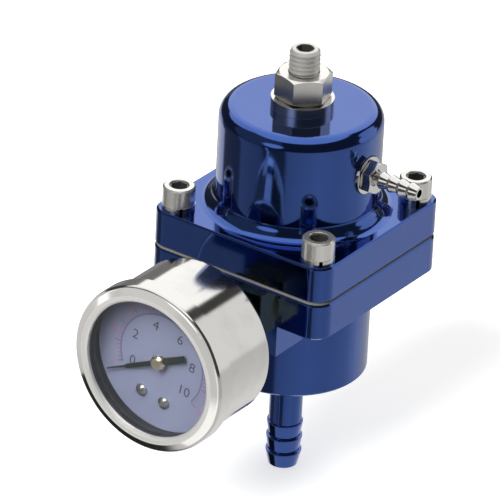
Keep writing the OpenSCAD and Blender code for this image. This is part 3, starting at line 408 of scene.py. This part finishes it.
class RegulatorColours(bpy.types.PropertyGroup):
    """Colours of the finishes."""

    anodise: FloatVectorProperty(
        name="Anodise", description="Blue of the dyed aluminium",
        default=linear("#345db0")[:3], size=3, min=0, max=1, subtype="COLOR")
    anodise_deep: FloatVectorProperty(
        name="Anodise, deep", description="Darker blue where the dye took more",
        default=linear("#2d51a2")[:3], size=3, min=0, max=1, subtype="COLOR")
    # Paler blue of edges, partly wear and partly painted highlight.
    anodise_worn_highlight: FloatVectorProperty(
        name="Anodise, worn", description="Paler blue along edges",
        default=linear("#8c9fcc")[:3], size=3, min=0, max=1, subtype="COLOR")
    chrome: FloatVectorProperty(
        name="Chrome", description="Polished chrome of the gauge and nipple",
        default=linear("#e6e4e0")[:3], size=3, min=0, max=1, subtype="COLOR")
    nickel: FloatVectorProperty(
        name="Nickel", description="Nickel plate of the screws",
        default=linear("#f0eee8")[:3], size=3, min=0, max=1, subtype="COLOR")
    steel: FloatVectorProperty(
        name="Steel", description="Plain drawn steel inside",
        default=linear("#b9b9b8")[:3], size=3, min=0, max=1, subtype="COLOR")
    aluminium: FloatVectorProperty(
        name="Aluminium", description="Bare stamped aluminium washers",
        default=linear("#dcdcda")[:3], size=3, min=0, max=1, subtype="COLOR")
    brass: FloatVectorProperty(
        name="Brass", description="Machined brass",
        default=linear("#d9c07e")[:3], size=3, min=0, max=1, subtype="COLOR")
    hub: FloatVectorProperty(
        name="Pointer hub", description="Pale brass of the pointer's hub",
        default=linear("#efe2c4")[:3], size=3, min=0, max=1, subtype="COLOR")
    # The dial's two tints hold painted shade: they are darker than the enamel's own colour.
    dial: FloatVectorProperty(
        name="Dial", description="Blue-grey enamel of the dial",
        default=linear("#747c90")[:3], size=3, min=0, max=1, subtype="COLOR")
    dial_lilac: FloatVectorProperty(
        name="Dial, lilac", description="Second tint of the dial's enamel",
        default=linear("#787692")[:3], size=3, min=0, max=1, subtype="COLOR")
    ink: FloatVectorProperty(
        name="Ink", description="Dark ink of the numerals",
        default=linear("#2a2c3c")[:3], size=3, min=0, max=1, subtype="COLOR")
    scale_ink: FloatVectorProperty(
        name="Scale ink", description="Purple-grey ink of the scale",
        default=linear("#5a5472")[:3], size=3, min=0, max=1, subtype="COLOR")
    outer_ink: FloatVectorProperty(
        name="Outer ink", description="Dull red ink of the outer numerals",
        default=linear("#86667e")[:3], size=3, min=0, max=1, subtype="COLOR")
    floor: FloatVectorProperty(
        name="Floor", description="Pale studio floor",
        default=linear("#f2f2f2")[:3], size=3, min=0, max=1, subtype="COLOR")


class REGULATOR_OT_blue_body(bpy.types.Operator):
    """Give the bonnet, lower body and hose barbs their blue anodised finish"""

    bl_idname = "regulator.blue_body"
    bl_label = "Blue body"

    def execute(self, context):
        finish_nodes(anodised_aluminium(), "spring_cover", "lower_body", "return_barb", "inlet_barb")
        return {"FINISHED"}


class REGULATOR_OT_hardware(bpy.types.Operator):
    """Give the screws, nut, washers and nipple their bright plate"""

    bl_idname = "regulator.hardware"
    bl_label = "Bright hardware"

    # Of the cap screws: width of the head, radius of the socket and share of light left under its painted
    # shade.
    head_width = 8.5 * MM
    socket_radius = 2.5 * MM
    socket_shaded_light = 0.15

    def execute(self, context):
        # Cold-headed steel under bright nickel, with faint die lines along the screws and painted shade in
        # the sockets.
        die_lines = (0.25, 0.25, 4)
        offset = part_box("cap_screws")[1].x - self.head_width / 2
        headed = bright_metal(
            "nickel_plated_screws", colour_of("nickel"), (0.22, 0.3), die_lines, 0.04,
            socket=(offset, self.socket_radius, self.socket_shaded_light), matt=0.1)
        finish_nodes(headed, "cap_screws")
        nickel = bright_metal("nickel_plated_steel", colour_of("nickel"), (0.2, 0.28), die_lines, 0.04)
        finish_nodes(nickel, "lock_washers", "lock_nut", "flat_washer")
        # Turned brass under decorative chrome, with lathe rings spaced along X.
        chrome = bright_metal("chromed_brass", colour_of("chrome"), (0.05, 0.12), (0.2, 20, 20), 0.08)
        finish_nodes(chrome, "vacuum_nipple", "nipple_washer")
        # Sheet aluminium as stamped, dull from tumbling.
        stamped = bright_metal(
            "stamped_aluminium", colour_of("aluminium"), (0.25, 0.42), (0.6, 0.6, 0.6), 0.3)
        finish_nodes(stamped, "port_washers")
        return {"FINISHED"}


class REGULATOR_OT_gauge_shell(bpy.types.Operator):
    """Give the gauge's case, bezel, window and seals their finishes"""

    bl_idname = "regulator.gauge_shell"
    bl_label = "Gauge shell"

    def execute(self, context):
        # Drawn sheet steel, buffed and chromed. Buffing lines run round the gauge, spaced along Y.
        case = bright_metal("buffed_chrome", colour_of("chrome"), (0.06, 0.14), (25, 0.3, 25), 0.08)
        finish_nodes(case, "gauge_case")
        finish_nodes(bezel_chrome(), "gauge_bezel")
        finish_nodes(window_glass(), "gauge_window")
        rubber = dull_coat(
            "moulded_rubber", linear("#1b1b1d"), linear("#262628"), 0.4, (0.5, 0.7), 0.25)
        finish_nodes(rubber, "window_gasket", "valve_disc")
        # Near-black spacer inside the case: partly the ring's own black, partly painted shade next to the
        # dial.
        spacer_and_shade = dull_coat(
            "black_enamelled_spacer", linear("#0e1011"), linear("#171a1b"), 1.5, (0.25, 0.4), 0.1)
        finish_nodes(spacer_and_shade, "dial_ring")
        return {"FINISHED"}


class REGULATOR_OT_gauge_face(bpy.types.Operator):
    """Give the dial, pointer and hub their finishes"""

    bl_idname = "regulator.gauge_face"
    bl_label = "Gauge face"

    def execute(self, context):
        # Stamped plate with a sprayed satin enamel, whose two tints drift over some 5 mm. Both tints are
        # darker than the enamel's own, with the shade inside the gauge painted in.
        enamel = dull_coat(
            "dial_enamel", colour_of("dial"), colour_of("dial_lilac"), 5, (0.35, 0.5), 0.05)
        finish_nodes(enamel, "gauge_dial")
        black = dull_coat(
            "black_pointer_paint", linear("#0d0f10"), linear("#1a2420"), 2, (0.4, 0.6), 0.1)
        finish_nodes(black, "pointer")
        hub = bright_metal("pale_turned_brass", colour_of("hub"), (0.22, 0.34), (0.3, 0.1, 0.3), 0.2)
        finish_nodes(hub, "pointer_hub")
        return {"FINISHED"}


class REGULATOR_OT_inner_works(bpy.types.Operator):
    """Give the valve, the diaphragm and the gauge movement their finishes"""

    bl_idname = "regulator.inner_works"
    bl_label = "Inner works"

    def execute(self, context):
        # Bright drawn steel wire, bar and sheet, with a fine grain.
        steel = bright_metal("bright_drawn_steel", colour_of("steel"), (0.22, 0.38), (0.3, 0.3, 0.3), 0.2)
        finish_nodes(
            steel, "spring_button", "upper_plate", "lower_plate", "stack_nut",
            "pinion_arbor", "link", "movement_screws", "hairspring", "dial_screws")
        # Rubber-coated cloth, whose pale weave shows along the cut edge between the flanges.
        cloth = dull_coat(
            "rubbered_cloth", linear("#5c5b58"), linear("#7e7c78"), 0.5, (0.6, 0.8), 0.4)
        finish_nodes(cloth, "diaphragm")
        # Free-cutting brass, turned or blanked, with fine tool marks.
        brass = bright_metal("machined_brass", colour_of("brass"), (0.18, 0.32), (0.35, 0.2, 0.35), 0.2)
        finish_nodes(
            brass, "stack_stud", "valve_seat", "gauge_socket", "sector_gear", "movement_plates",
            "movement_pillars", "bourdon_tube")
        return {"FINISHED"}


class REGULATOR_OT_adjusting_thread(bpy.types.Operator):
    """Model the adjusting screw with its thread and hexagon socket"""

    bl_idname = "regulator.adjusting_thread"
    bl_label = "Adjusting screw"

    steps_a_turn = 40
    smooth_below = math.radians(32)
    # The chamfer's cutter starts this far past the screw's end and reaches this far outside its crest.
    cutter_over = 0.3 * MM
    cutter_wide = 1.1 * MM
    cutter_steps = 73
    # The socket's painted shade ends a little outside its corners, and this share of light is left in it.
    socket_margin = 1.02
    socket_shaded_light = 0.12

    def execute(self, context):
        sizes = context.scene.regulator_sizes
        pitch = sizes.thread_pitch
        crest = (SCREW_HIGH.x - SCREW_LOW.x) / 2
        root = crest - sizes.thread_depth
        length = SCREW_HIGH.z - SCREW_LOW.z
        turns = math.ceil(length / pitch) + 2

        # One pitch of the thread's outline, drawn point by point and wound up by a Screw modifier.
        deselect_all()
        bpy.ops.mesh.primitive_plane_add(size=pitch, location=(0, 0, 0))
        thread = start_piece("adjusting_screw_thread")
        bpy.ops.object.mode_set(mode="EDIT")
        bpy.ops.mesh.merge(type="CENTER")
        bpy.ops.transform.translate(value=(root, 0, SCREW_LOW.z - pitch))
        steps = (
            (0, pitch / 8), (crest - root, pitch * 5 / 16), (0, pitch / 8), (root - crest, pitch * 7 / 16),
        )
        for outward, along in steps:
            bpy.ops.mesh.extrude_region_move(TRANSFORM_OT_translate={"value": (outward, 0, along)})
        bpy.ops.object.mode_set(mode="OBJECT")
        apply_modifier(
            thread, "SCREW", axis="Z", angle=2 * math.pi, screw_offset=pitch, iterations=turns,
            steps=self.steps_a_turn, render_steps=self.steps_a_turn, use_merge_vertices=True,
            merge_threshold=MERGE_DISTANCE)
        bpy.ops.object.mode_set(mode="EDIT")
        bpy.ops.mesh.select_all(action="SELECT")
        bpy.ops.mesh.remove_doubles(threshold=2 * MERGE_DISTANCE)
        bpy.ops.mesh.bisect(
            plane_co=(0, 0, SCREW_LOW.z), plane_no=(0, 0, 1), use_fill=True, clear_inner=True,
            threshold=CUT_TOLERANCE)
        bpy.ops.mesh.select_all(action="SELECT")
        bpy.ops.mesh.bisect(
            plane_co=(0, 0, SCREW_HIGH.z), plane_no=(0, 0, 1), use_fill=True, clear_outer=True,
            threshold=CUT_TOLERANCE)
        bpy.ops.mesh.select_all(action="SELECT")
        bpy.ops.mesh.normals_make_consistent(inside=False)
        bpy.ops.object.mode_set(mode="OBJECT")

        # A ring of triangular section cuts the chamfer at each end.
        cutters = [
            self.chamfer_ring("upper_chamfer_cutter", crest, SCREW_HIGH.z, 1),
            self.chamfer_ring("lower_chamfer_cutter", crest, SCREW_LOW.z, -1),
        ]

        # A hexagonal cutter opens the socket in the upper end.
        corner = sizes.socket_width / math.sqrt(3)
        deselect_all()
        bpy.ops.mesh.primitive_cylinder_add(
            vertices=6, radius=corner, depth=2 * sizes.socket_depth, location=(0, 0, SCREW_HIGH.z))
        cutters.append(start_piece("socket_cutter"))
        for cutter in cutters:
            apply_modifier(thread, "BOOLEAN", operation="DIFFERENCE", object=cutter, solver="EXACT")
            bpy.data.objects.remove(cutter)

        pick(thread)
        bpy.ops.object.transform_apply(location=True, rotation=True, scale=True)
        bpy.ops.object.shade_smooth_by_angle(angle=self.smooth_below)
        # Rolled steel thread under nickel, with rolling lines round it and painted shade in its socket.
        nickel = bright_metal(
            "nickel_plated_thread", colour_of("nickel"), (0.5, 0.6), (3, 3, 0.25), 0.1,
            socket=(0, self.socket_margin * corner, self.socket_shaded_light), matt=0.13)
        paint(thread, nickel)
        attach(thread, "adjuster")
        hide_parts("adjusting_screw")
        return {"FINISHED"}

    def chamfer_ring(self, name, crest, end, outward):
        """A ring that takes the chamfer off the screw's end at this height, above it or below."""
        over = self.cutter_over
        chamfer = bpy.context.scene.regulator_sizes.end_chamfer
        deselect_all()
        bpy.ops.mesh.primitive_plane_add(size=over)
        ring = start_piece(name)
        bpy.ops.object.mode_set(mode="EDIT")
        bpy.ops.mesh.merge(type="CENTER")
        bpy.ops.transform.translate(value=(crest - chamfer - over, 0, end + outward * over))
        across = self.cutter_wide + chamfer + over
        for step in ((across, 0, 0), (0, 0, -outward * across), (-across, 0, outward * across)):
            bpy.ops.mesh.extrude_region_move(TRANSFORM_OT_translate={"value": step})
        bpy.ops.mesh.select_all(action="SELECT")
        bpy.ops.mesh.remove_doubles(threshold=MERGE_DISTANCE)
        bpy.ops.mesh.spin(steps=self.cutter_steps, angle=2 * math.pi, center=(0, 0, 0), axis=(0, 0, 1))
        close_mesh()
        return ring


class REGULATOR_OT_main_spring(bpy.types.Operator):
    """Model the main spring in two lengths, one against the plate below it, one against the button above
    """

    bl_idname = "regulator.main_spring"
    bl_label = "Main spring"

    # One turn at each end lies closed: it climbs little more than the wire's own diameter.
    closed_climb = 1.08
    open_turns = 2
    wire_sides = 12
    steps_a_turn = 48
    smooth_below = math.radians(40)

    def execute(self, context):
        wire = context.scene.regulator_sizes.spring_wire
        closed = self.closed_climb * wire
        low = SPRING_LOW.z + wire / 2
        high = SPRING_HIGH.z - wire / 2
        meeting = low + closed
        pitch = (high - low - 2 * closed) / self.open_turns
        lower = self.wind("main_spring_lower", low, closed, 1)
        upper = self.wind("main_spring_upper", meeting, pitch, self.open_turns)
        last_turn = self.wind("main_spring_end", high - closed, closed, 1)
        pick(last_turn)
        upper.select_set(True)
        bpy.context.view_layer.objects.active = upper
        bpy.ops.object.join()
        # Oil-tempered spring wire, with a fine grain.
        steel = bright_metal("tempered_spring_wire", colour_of("steel"), (0.25, 0.4), (0.3, 0.3, 0.3), 0.2)
        for piece, body, end in ((lower, "stack", SPRING_LOW.z), (upper, "button", SPRING_HIGH.z)):
            pick(piece)
            close_mesh(fill=True)
            bpy.ops.object.shade_smooth_by_angle(angle=self.smooth_below)
            paint(piece, steel)
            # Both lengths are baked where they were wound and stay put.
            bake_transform(piece)
            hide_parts("main_spring")
        return {"FINISHED"}

    def wind(self, name, start, pitch, turns):
        """A length of wire wound up from one round section, its ends left open."""
        wire = bpy.context.scene.regulator_sizes.spring_wire
        deselect_all()
        bpy.ops.mesh.primitive_circle_add(
            vertices=self.wire_sides, radius=wire / 2, location=(SPRING_HIGH.x - wire / 2, 0, start),
            rotation=(math.radians(90), 0, 0))
        piece = start_piece(name)
        bpy.ops.object.transform_apply(location=True, rotation=True, scale=True)
        apply_modifier(
            piece, "SCREW", axis="Z", angle=2 * math.pi, screw_offset=pitch, iterations=turns,
            steps=self.steps_a_turn, render_steps=self.steps_a_turn)
        return piece


class REGULATOR_OT_dial_print(bpy.types.Operator):
    """Print the dial: scale arc, marks and plain numerals"""

    bl_idname = "regulator.dial_print"
    bl_label = "Dial print"

    inner_words = ("0", "2", "4", "6", "8", "10")
    outer_words = ("0", "20", "40", "60", "80", "100", "120", "140")
    # Each arc's width and the length of its marks, and how far the outer arc lies outside the inner one.
    inner_arc = (0.45 * MM, 1.9 * MM)
    outer_arc = (0.2 * MM, 0.9 * MM)
    arcs_apart = 1.1 * MM
    # Width of the main marks. Width, length and middle of the fine ones, outward from the arc.
    mark_width = 0.34 * MM
    fine_width = 0.2 * MM
    fine_length = 1.0 * MM
    fine_middle = 0.55 * MM
    # Number of steps along the scale from mark to mark, and along an arc from point to point.
    inner_marks = 10
    fine_steps = 50
    outer_marks = 14
    arc_steps = 72

    def execute(self, context):
        sizes = context.scene.regulator_sizes
        sweep = sizes.scale_sweep
        start = math.degrees(sizes.scale_turn - sweep / 2)
        scale_ink = self.ink("scale_ink", colour_of("scale_ink"), 1.25, 1.2)
        dark_ink = self.ink("numeral_ink", colour_of("ink"), 1.3, 0.8)
        outer_ink = self.ink("outer_ink", colour_of("outer_ink"), 1.2, 0.8)

        arc = self.scale_marks(
            "dial_scale_arc", sizes.scale_radius, self.inner_arc, start, sweep, self.inner_marks)
        fine = self.fine_marks("dial_fine_marks", sizes.scale_radius, start, sweep)
        outer = self.scale_marks(
            "dial_outer_arc", sizes.scale_radius + self.arcs_apart, self.outer_arc, start, sweep,
            self.outer_marks)
        inner = self.numerals("dial_numerals", self.inner_words, sizes.numeral_radius, sizes.numeral_size)
        rim = self.numerals("dial_outer_numerals", self.outer_words, sizes.outer_radius, sizes.outer_size)
        printed = (
            (arc, scale_ink), (fine, scale_ink), (outer, outer_ink), (inner, dark_ink), (rim, outer_ink),
        )
        for piece, ink in printed:
            paint(piece, ink)
            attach(piece, "housing")
        return {"FINISHED"}

    def ink(self, name, colour, fleck_light, grain_mm):
        """Printing ink with flecks of this size that are this many times as light."""
        return dull_coat(name, colour, shaded(colour, fleck_light), grain_mm, (0.4, 0.5), 0.05)

    def begin_mark(self, name, radius, length, width, clock_deg):
        """A flat mark at one clock angle, left in edit mode with all of it selected."""
        deselect_all()
        x, y = on_dial(clock_deg, radius)
        bpy.ops.mesh.primitive_plane_add(
            size=1, location=(x, y, 0), rotation=(0, 0, math.radians(90 - clock_deg)))
        piece = start_piece(name)
        piece.scale = (length, width, 1)
        bpy.ops.object.transform_apply(location=True, rotation=True, scale=True)
        bpy.ops.object.mode_set(mode="EDIT")
        bpy.ops.mesh.select_all(action="SELECT")
        return piece

    def thicken(self, piece):
        """Give flat print its thickness, half sunk into the dial so that it has no gap behind it."""
        sizes = bpy.context.scene.regulator_sizes
        bpy.ops.object.mode_set(mode="OBJECT")
        apply_modifier(piece, "SOLIDIFY", thickness=2 * sizes.ink_height, offset=0)
        close_mesh(merge=False)
        put_on_dial(piece)

    def scale_marks(self, name, radius, arc, start, sweep, steps):
        """An arc, given as its width and the length of its marks, with main marks along it."""
        width, mark_length = arc
        piece = self.begin_mark(name, radius + mark_length / 2, mark_length, self.mark_width, start)
        bpy.ops.mesh.spin(
            dupli=True, steps=steps, angle=sweep, center=(0, 0, 0), axis=(0, 0, 1))
        x, y = on_dial(start, radius)
        bpy.ops.mesh.select_all(action="DESELECT")
        bpy.ops.mesh.primitive_plane_add(
            size=width, location=(x, y, 0), rotation=(0, 0, math.radians(90 - start)))
        bpy.ops.mesh.delete(type="ONLY_FACE")
        bpy.ops.object.mode_set(mode="OBJECT")
        # Two of the square's corners are kept, as a short line across the arc, and spun into a band.
        corners = sorted(
            piece.data.vertices[-4:], key=lambda v: math.atan2(v.co.y, v.co.x), reverse=True)
        for vertex in piece.data.vertices:
            vertex.select = False
        for vertex in corners[2:]:
            vertex.select = True
        bpy.ops.object.mode_set(mode="EDIT")
        bpy.ops.mesh.select_mode(type="VERT")
        bpy.ops.mesh.delete(type="VERT")
        bpy.ops.object.mode_set(mode="OBJECT")
        for vertex in piece.data.vertices[-2:]:
            vertex.select = True
        bpy.ops.object.mode_set(mode="EDIT")
        bpy.ops.mesh.spin(steps=self.arc_steps, angle=sweep, center=(0, 0, 0), axis=(0, 0, 1))
        self.thicken(piece)
        return piece

    def fine_marks(self, name, radius, start, sweep):
        """The short marks at and between the main ones."""
        piece = self.begin_mark(
            name, radius + self.fine_middle, self.fine_length, self.fine_width, start)
        bpy.ops.mesh.spin(
            dupli=True, steps=self.fine_steps, angle=sweep, center=(0, 0, 0), axis=(0, 0, 1))
        self.thicken(piece)
        return piece

    def numerals(self, name, words, radius, size):
        """Upright numerals spread evenly along the scale, as one piece."""
        sizes = bpy.context.scene.regulator_sizes
        made = []
        for place, word in enumerate(words):
            clock = math.degrees(sizes.scale_turn + sizes.scale_sweep * (place / (len(words) - 1) - 0.5))
            x, y = on_dial(clock, radius)
            deselect_all()
            bpy.ops.object.text_add(location=(x, y, 0), rotation=(0, 0, -sizes.scale_turn))
            text = bpy.context.active_object
            text.data.body = word
            text.data.size = size
            text.data.align_x = "CENTER"
            text.data.align_y = "CENTER"
            text.data.extrude = sizes.ink_height
            text.data.resolution_u = 4
            bpy.ops.object.convert(target="MESH")
            made.append(bpy.context.active_object)
        deselect_all()
        for piece in made:
            piece.select_set(True)
        bpy.context.view_layer.objects.active = made[0]
        bpy.ops.object.join()
        piece = start_piece(name)
        bpy.ops.object.transform_apply(location=True, rotation=True, scale=True)
        close_mesh()
        put_on_dial(piece)
        return piece


class REGULATOR_OT_stage(bpy.types.Operator):
    """Set the floor, the studio's light and the camera"""

    bl_idname = "regulator.stage"
    bl_label = "Stage"

    # The photograph's view: turn from -Y towards +X, height above the horizon and tilt of the frame.
    azimuth = math.radians(34.2)
    elevation = math.radians(28.32)
    roll = math.radians(2.93)
    distance = 1.546
    lens_mm = 432
    # The point on the main axis that the view was measured from, and its place right of and above centre.
    aim = Vector((0, 0, 66.8 * MM))
    aim_right = 11.6 * MM
    aim_up = 3.35 * MM
    # Round softboxes that the bright surfaces mirror: turn from +X, height, half width, strength.
    softboxes = (
        (118, 38, 28, 1.2),
        (160, 50, 22, 1.0),
        (124, 84, 32, 1.1),
        (-94, 19, 14, 1.0),
        (49, 6, 20, 0.8),
        (58, 27, 14, 0.8),
        (132, 2, 12, 0.18),
        (-125, 30, 35, 0.15),
    )
    # A softbox fades out over this many degrees on either side of its edge.
    softbox_fade = 1.5
    # The lamp's turn and height in degrees, its distance and width in metres, and its power.
    lamp_way = (-91, 42)
    lamp_distance = 1.3
    lamp_width = 0.7
    lamp_power = 26

    def execute(self, context):
        context.scene.view_settings.view_transform = "Standard"
        back, across, upward = self.view_axes()
        self.floor()
        self.reflector_cards()
        self.studio(context)
        self.key_light()
        self.camera(context, back, across, upward)
        return {"FINISHED"}

    def view_axes(self):
        """The camera's own axes: back towards it, across to the right and upward."""
        back = Vector((
            math.sin(self.azimuth) * math.cos(self.elevation),
            -math.cos(self.azimuth) * math.cos(self.elevation),
            math.sin(self.elevation),
        ))
        level = Vector((math.cos(self.azimuth), math.sin(self.azimuth), 0))
        rise = back.cross(level)
        across = math.cos(self.roll) * level + math.sin(self.roll) * rise
        upward = math.cos(self.roll) * rise - math.sin(self.roll) * level
        return back, across, upward

    def direction(self, turn_deg, height_deg):
        """A unit vector towards a turn from +X about the upright and a height above the horizon."""
        turn, height = math.radians(turn_deg), math.radians(height_deg)
        return Vector((
            math.cos(height) * math.cos(turn), math.cos(height) * math.sin(turn), math.sin(height)))

    def floor(self):
        """A pale table that glows, so that shadows on it stay soft."""
        deselect_all()
        bpy.ops.mesh.primitive_plane_add(size=8, location=(0, 0, 0))
        floor = start_piece("studio_floor")
        # The metal mirrors the studio round the table and not the floor itself.
        floor.visible_glossy = False
        floor.visible_diffuse = False
        floor.visible_transmission = False
        material, tree, output = new_material("light_table")
        shader = add(tree, "BsdfPrincipled", {
            "Base Color": colour_of("floor"), "Roughness": 0.8,
            "Emission Color": (1, 1, 1, 1), "Emission Strength": 0.62,
        })
        tree.links.new(shader.outputs[0], output.inputs[0])
        floor.data.materials.append(material)

    def reflector_cards(self):
        """Two sheer white screens before the gauge and left of it, whose light falls on the bezel only."""
        front = DIAL_FACE + Vector((0, -19, 0)) * MM
        left = DIAL_FACE + Vector((-80, -23, -15)) * MM
        cards = (
            ("front_card", front, (66 * MM, 70 * MM), (90, 0, 0)),
            ("left_card", left, (80 * MM, 80 * MM), (0, 90, 0)),
        )
        lit = bpy.data.collections.new("lit_by_cards")
        lit.objects.link(NODES["gauge_bezel"])
        material, tree, output = new_material("sheer_white_screen")
        glow = add(tree, "Emission", {"Color": (1, 1, 1, 1), "Strength": 0.58})
        sheer = add(tree, "BsdfTransparent", {"Color": (1, 1, 1, 1)})
        both = add(tree, "AddShader", {0: glow.outputs[0], 1: sheer.outputs[0]})
        tree.links.new(both.outputs[0], output.inputs[0])
        for name, place, (width, height), turn in cards:
            deselect_all()
            bpy.ops.mesh.primitive_plane_add(
                size=1, location=place, rotation=[math.radians(angle) for angle in turn])
            card = start_piece(name)
            card.scale = (width, height, 1)
            card.data.materials.append(material)
            card.visible_camera = False
            card.visible_diffuse = False
            card.visible_transmission = False
            card.visible_shadow = False
            card.light_linking.receiver_collection = lit

    def studio(self, context):
        """The studio that metal mirrors: softboxes above the horizon, and lit and dark walls below it."""
        world = bpy.data.worlds.new("studio")
        context.scene.world = world
        world.use_nodes = True
        tree = world.node_tree
        tree.nodes.clear()
        way = add(tree, "TexCoord").outputs["Generated"]
        height = add(tree, "SeparateXYZ", {0: way}).outputs["Z"]
        round_turn = add(tree, "TexGradient", {"Vector": way}, gradient_type="RADIAL").outputs["Fac"]
        table = add(tree, "ValToRGB", {"Fac": round_turn}, stops=[
            (0.0, 0.1), (0.085, 0.1), (0.1, 0.27), (0.19, 0.22), (0.205, 0.07), (0.214, 0.07),
            (0.217, 0.8), (0.222, 0.8), (0.225, 0.07), (0.285, 0.09), (0.3, 0.36), (0.345, 0.42),
            (0.42, 0.5), (0.5, 0.45), (0.6, 0.5), (0.655, 0.64), (0.7, 0.6), (0.75, 0.5), (0.808, 0.5),
            (0.814, 0.25), (0.876, 0.25), (0.882, 0.7), (0.97, 0.75), (0.985, 0.1), (1.0, 0.1),
        ])
        below = add(tree, "ValToRGB", {"Fac": round_turn}, stops=[
            (0.0, 0.02), (0.13, 0.02), (0.16, 0.6), (0.6, 0.6), (0.72, 0.75), (0.83, 0.7),
            (0.97, 0.7), (0.985, 0.02), (1.0, 0.02),
        ])
        lit_room = (0.05, 0.05, 0.05, 1)
        for turn_deg, height_deg, half_width_deg, strength in self.softboxes:
            middle = self.direction(turn_deg, height_deg)
            nearness = add(tree, "VectorMath", {0: way, 1: middle}, operation="DOT_PRODUCT")
            box = add(tree, "MapRange", {
                "Value": nearness.outputs["Value"],
                "From Min": math.cos(math.radians(half_width_deg + self.softbox_fade)),
                "From Max": math.cos(math.radians(half_width_deg - self.softbox_fade)),
                "To Max": strength,
            })
            lit_room = add(tree, "Mix", {
                "Factor": 1.0, "A": lit_room, "B": box.outputs[0],
            }, data_type="RGBA", blend_type="LIGHTEN").outputs["Result"]
        under = add(tree, "MapRange", {"Value": height, "From Min": -0.5, "From Max": -0.58})
        low = add(tree, "Mix", {
            "Factor": under.outputs[0], "A": table.outputs[0], "B": below.outputs[0],
        }, data_type="RGBA")
        above = add(tree, "MapRange", {"Value": height, "From Min": -0.16, "From Max": -0.08})
        room = add(tree, "Mix", {
            "Factor": above.outputs[0], "A": low.outputs["Result"], "B": lit_room,
        }, data_type="RGBA")
        path = add(tree, "LightPath")
        # Matt surfaces get an even fill, and the camera itself sees a plain pale backdrop.
        fill = add(tree, "Mix", {
            "Factor": path.outputs["Is Diffuse Ray"], "A": room.outputs["Result"], "B": (0.3, 0.3, 0.3, 1),
        }, data_type="RGBA")
        seen = add(tree, "Mix", {
            "Factor": path.outputs["Is Camera Ray"], "A": fill.outputs["Result"], "B": (1, 1, 1, 1),
        }, data_type="RGBA")
        glow = add(tree, "Background", {"Color": seen.outputs["Result"], "Strength": 1.0})
        output = add(tree, "OutputWorld")
        tree.links.new(glow.outputs[0], output.inputs[0])

    def key_light(self):
        """One large soft lamp, left of the camera and above it, so that shadows fall to the right."""
        deselect_all()
        towards = self.direction(*self.lamp_way)
        bpy.ops.object.light_add(type="AREA", location=self.aim + towards * self.lamp_distance)
        lamp = bpy.context.active_object
        lamp.name = "key_light"
        lamp.data.shape = "DISK"
        lamp.data.size = self.lamp_width
        lamp.data.energy = self.lamp_power
        lamp.rotation_euler = towards.to_track_quat("Z", "Y").to_euler()
        lamp.visible_glossy = False

    def camera(self, context, back, across, upward):
        """The camera, placed so that the aim lies right of and above the picture's centre."""
        deselect_all()
        bpy.ops.object.camera_add()
        camera = bpy.context.active_object
        camera.name = "photo_camera"
        camera.data.sensor_width = 36
        camera.data.lens = self.lens_mm
        spot = self.aim + back * self.distance - across * self.aim_right - upward * self.aim_up
        turn = Matrix((across, upward, back)).transposed().to_4x4()
        camera.matrix_world = Matrix.Translation(spot) @ turn
        context.scene.camera = camera


OPERATORS = (
    REGULATOR_OT_blue_body,
    REGULATOR_OT_hardware,
    REGULATOR_OT_gauge_shell,
    REGULATOR_OT_gauge_face,
    REGULATOR_OT_inner_works,
    REGULATOR_OT_adjusting_thread,
    REGULATOR_OT_main_spring,
    REGULATOR_OT_dial_print,
    REGULATOR_OT_stage,
)


class REGULATOR_PT_panel(bpy.types.Panel):
    """Lists the regulator's steps and settings"""

    bl_label = "Regulator"
    bl_space_type = "VIEW_3D"
    bl_region_type = "UI"
    bl_category = "Regulator"

    def draw(self, context):
        for operator in OPERATORS:
            self.layout.operator(operator.bl_idname)
        for group in (context.scene.regulator_sizes, context.scene.regulator_colours):
            box = self.layout.box()
            for name in group.__annotations__:
                box.prop(group, name)


CLASSES = (RegulatorSizes, RegulatorColours) + OPERATORS + (REGULATOR_PT_panel,)


def register():
    for cls in CLASSES:
        bpy.utils.register_class(cls)
    bpy.types.Scene.regulator_sizes = PointerProperty(type=RegulatorSizes)
    bpy.types.Scene.regulator_colours = PointerProperty(type=RegulatorColours)


def unregister():
    del bpy.types.Scene.regulator_colours
    del bpy.types.Scene.regulator_sizes
    for cls in reversed(CLASSES):
        bpy.utils.unregister_class(cls)


def main():
    register()
    bpy.ops.regulator.blue_body()
    bpy.ops.regulator.hardware()
    bpy.ops.regulator.gauge_shell()
    bpy.ops.regulator.gauge_face()
    bpy.ops.regulator.inner_works()
    bpy.ops.regulator.adjusting_thread()
    bpy.ops.regulator.main_spring()
    bpy.ops.regulator.dial_print()
    bpy.ops.regulator.stage()


if __name__ == "__main__":
    main()
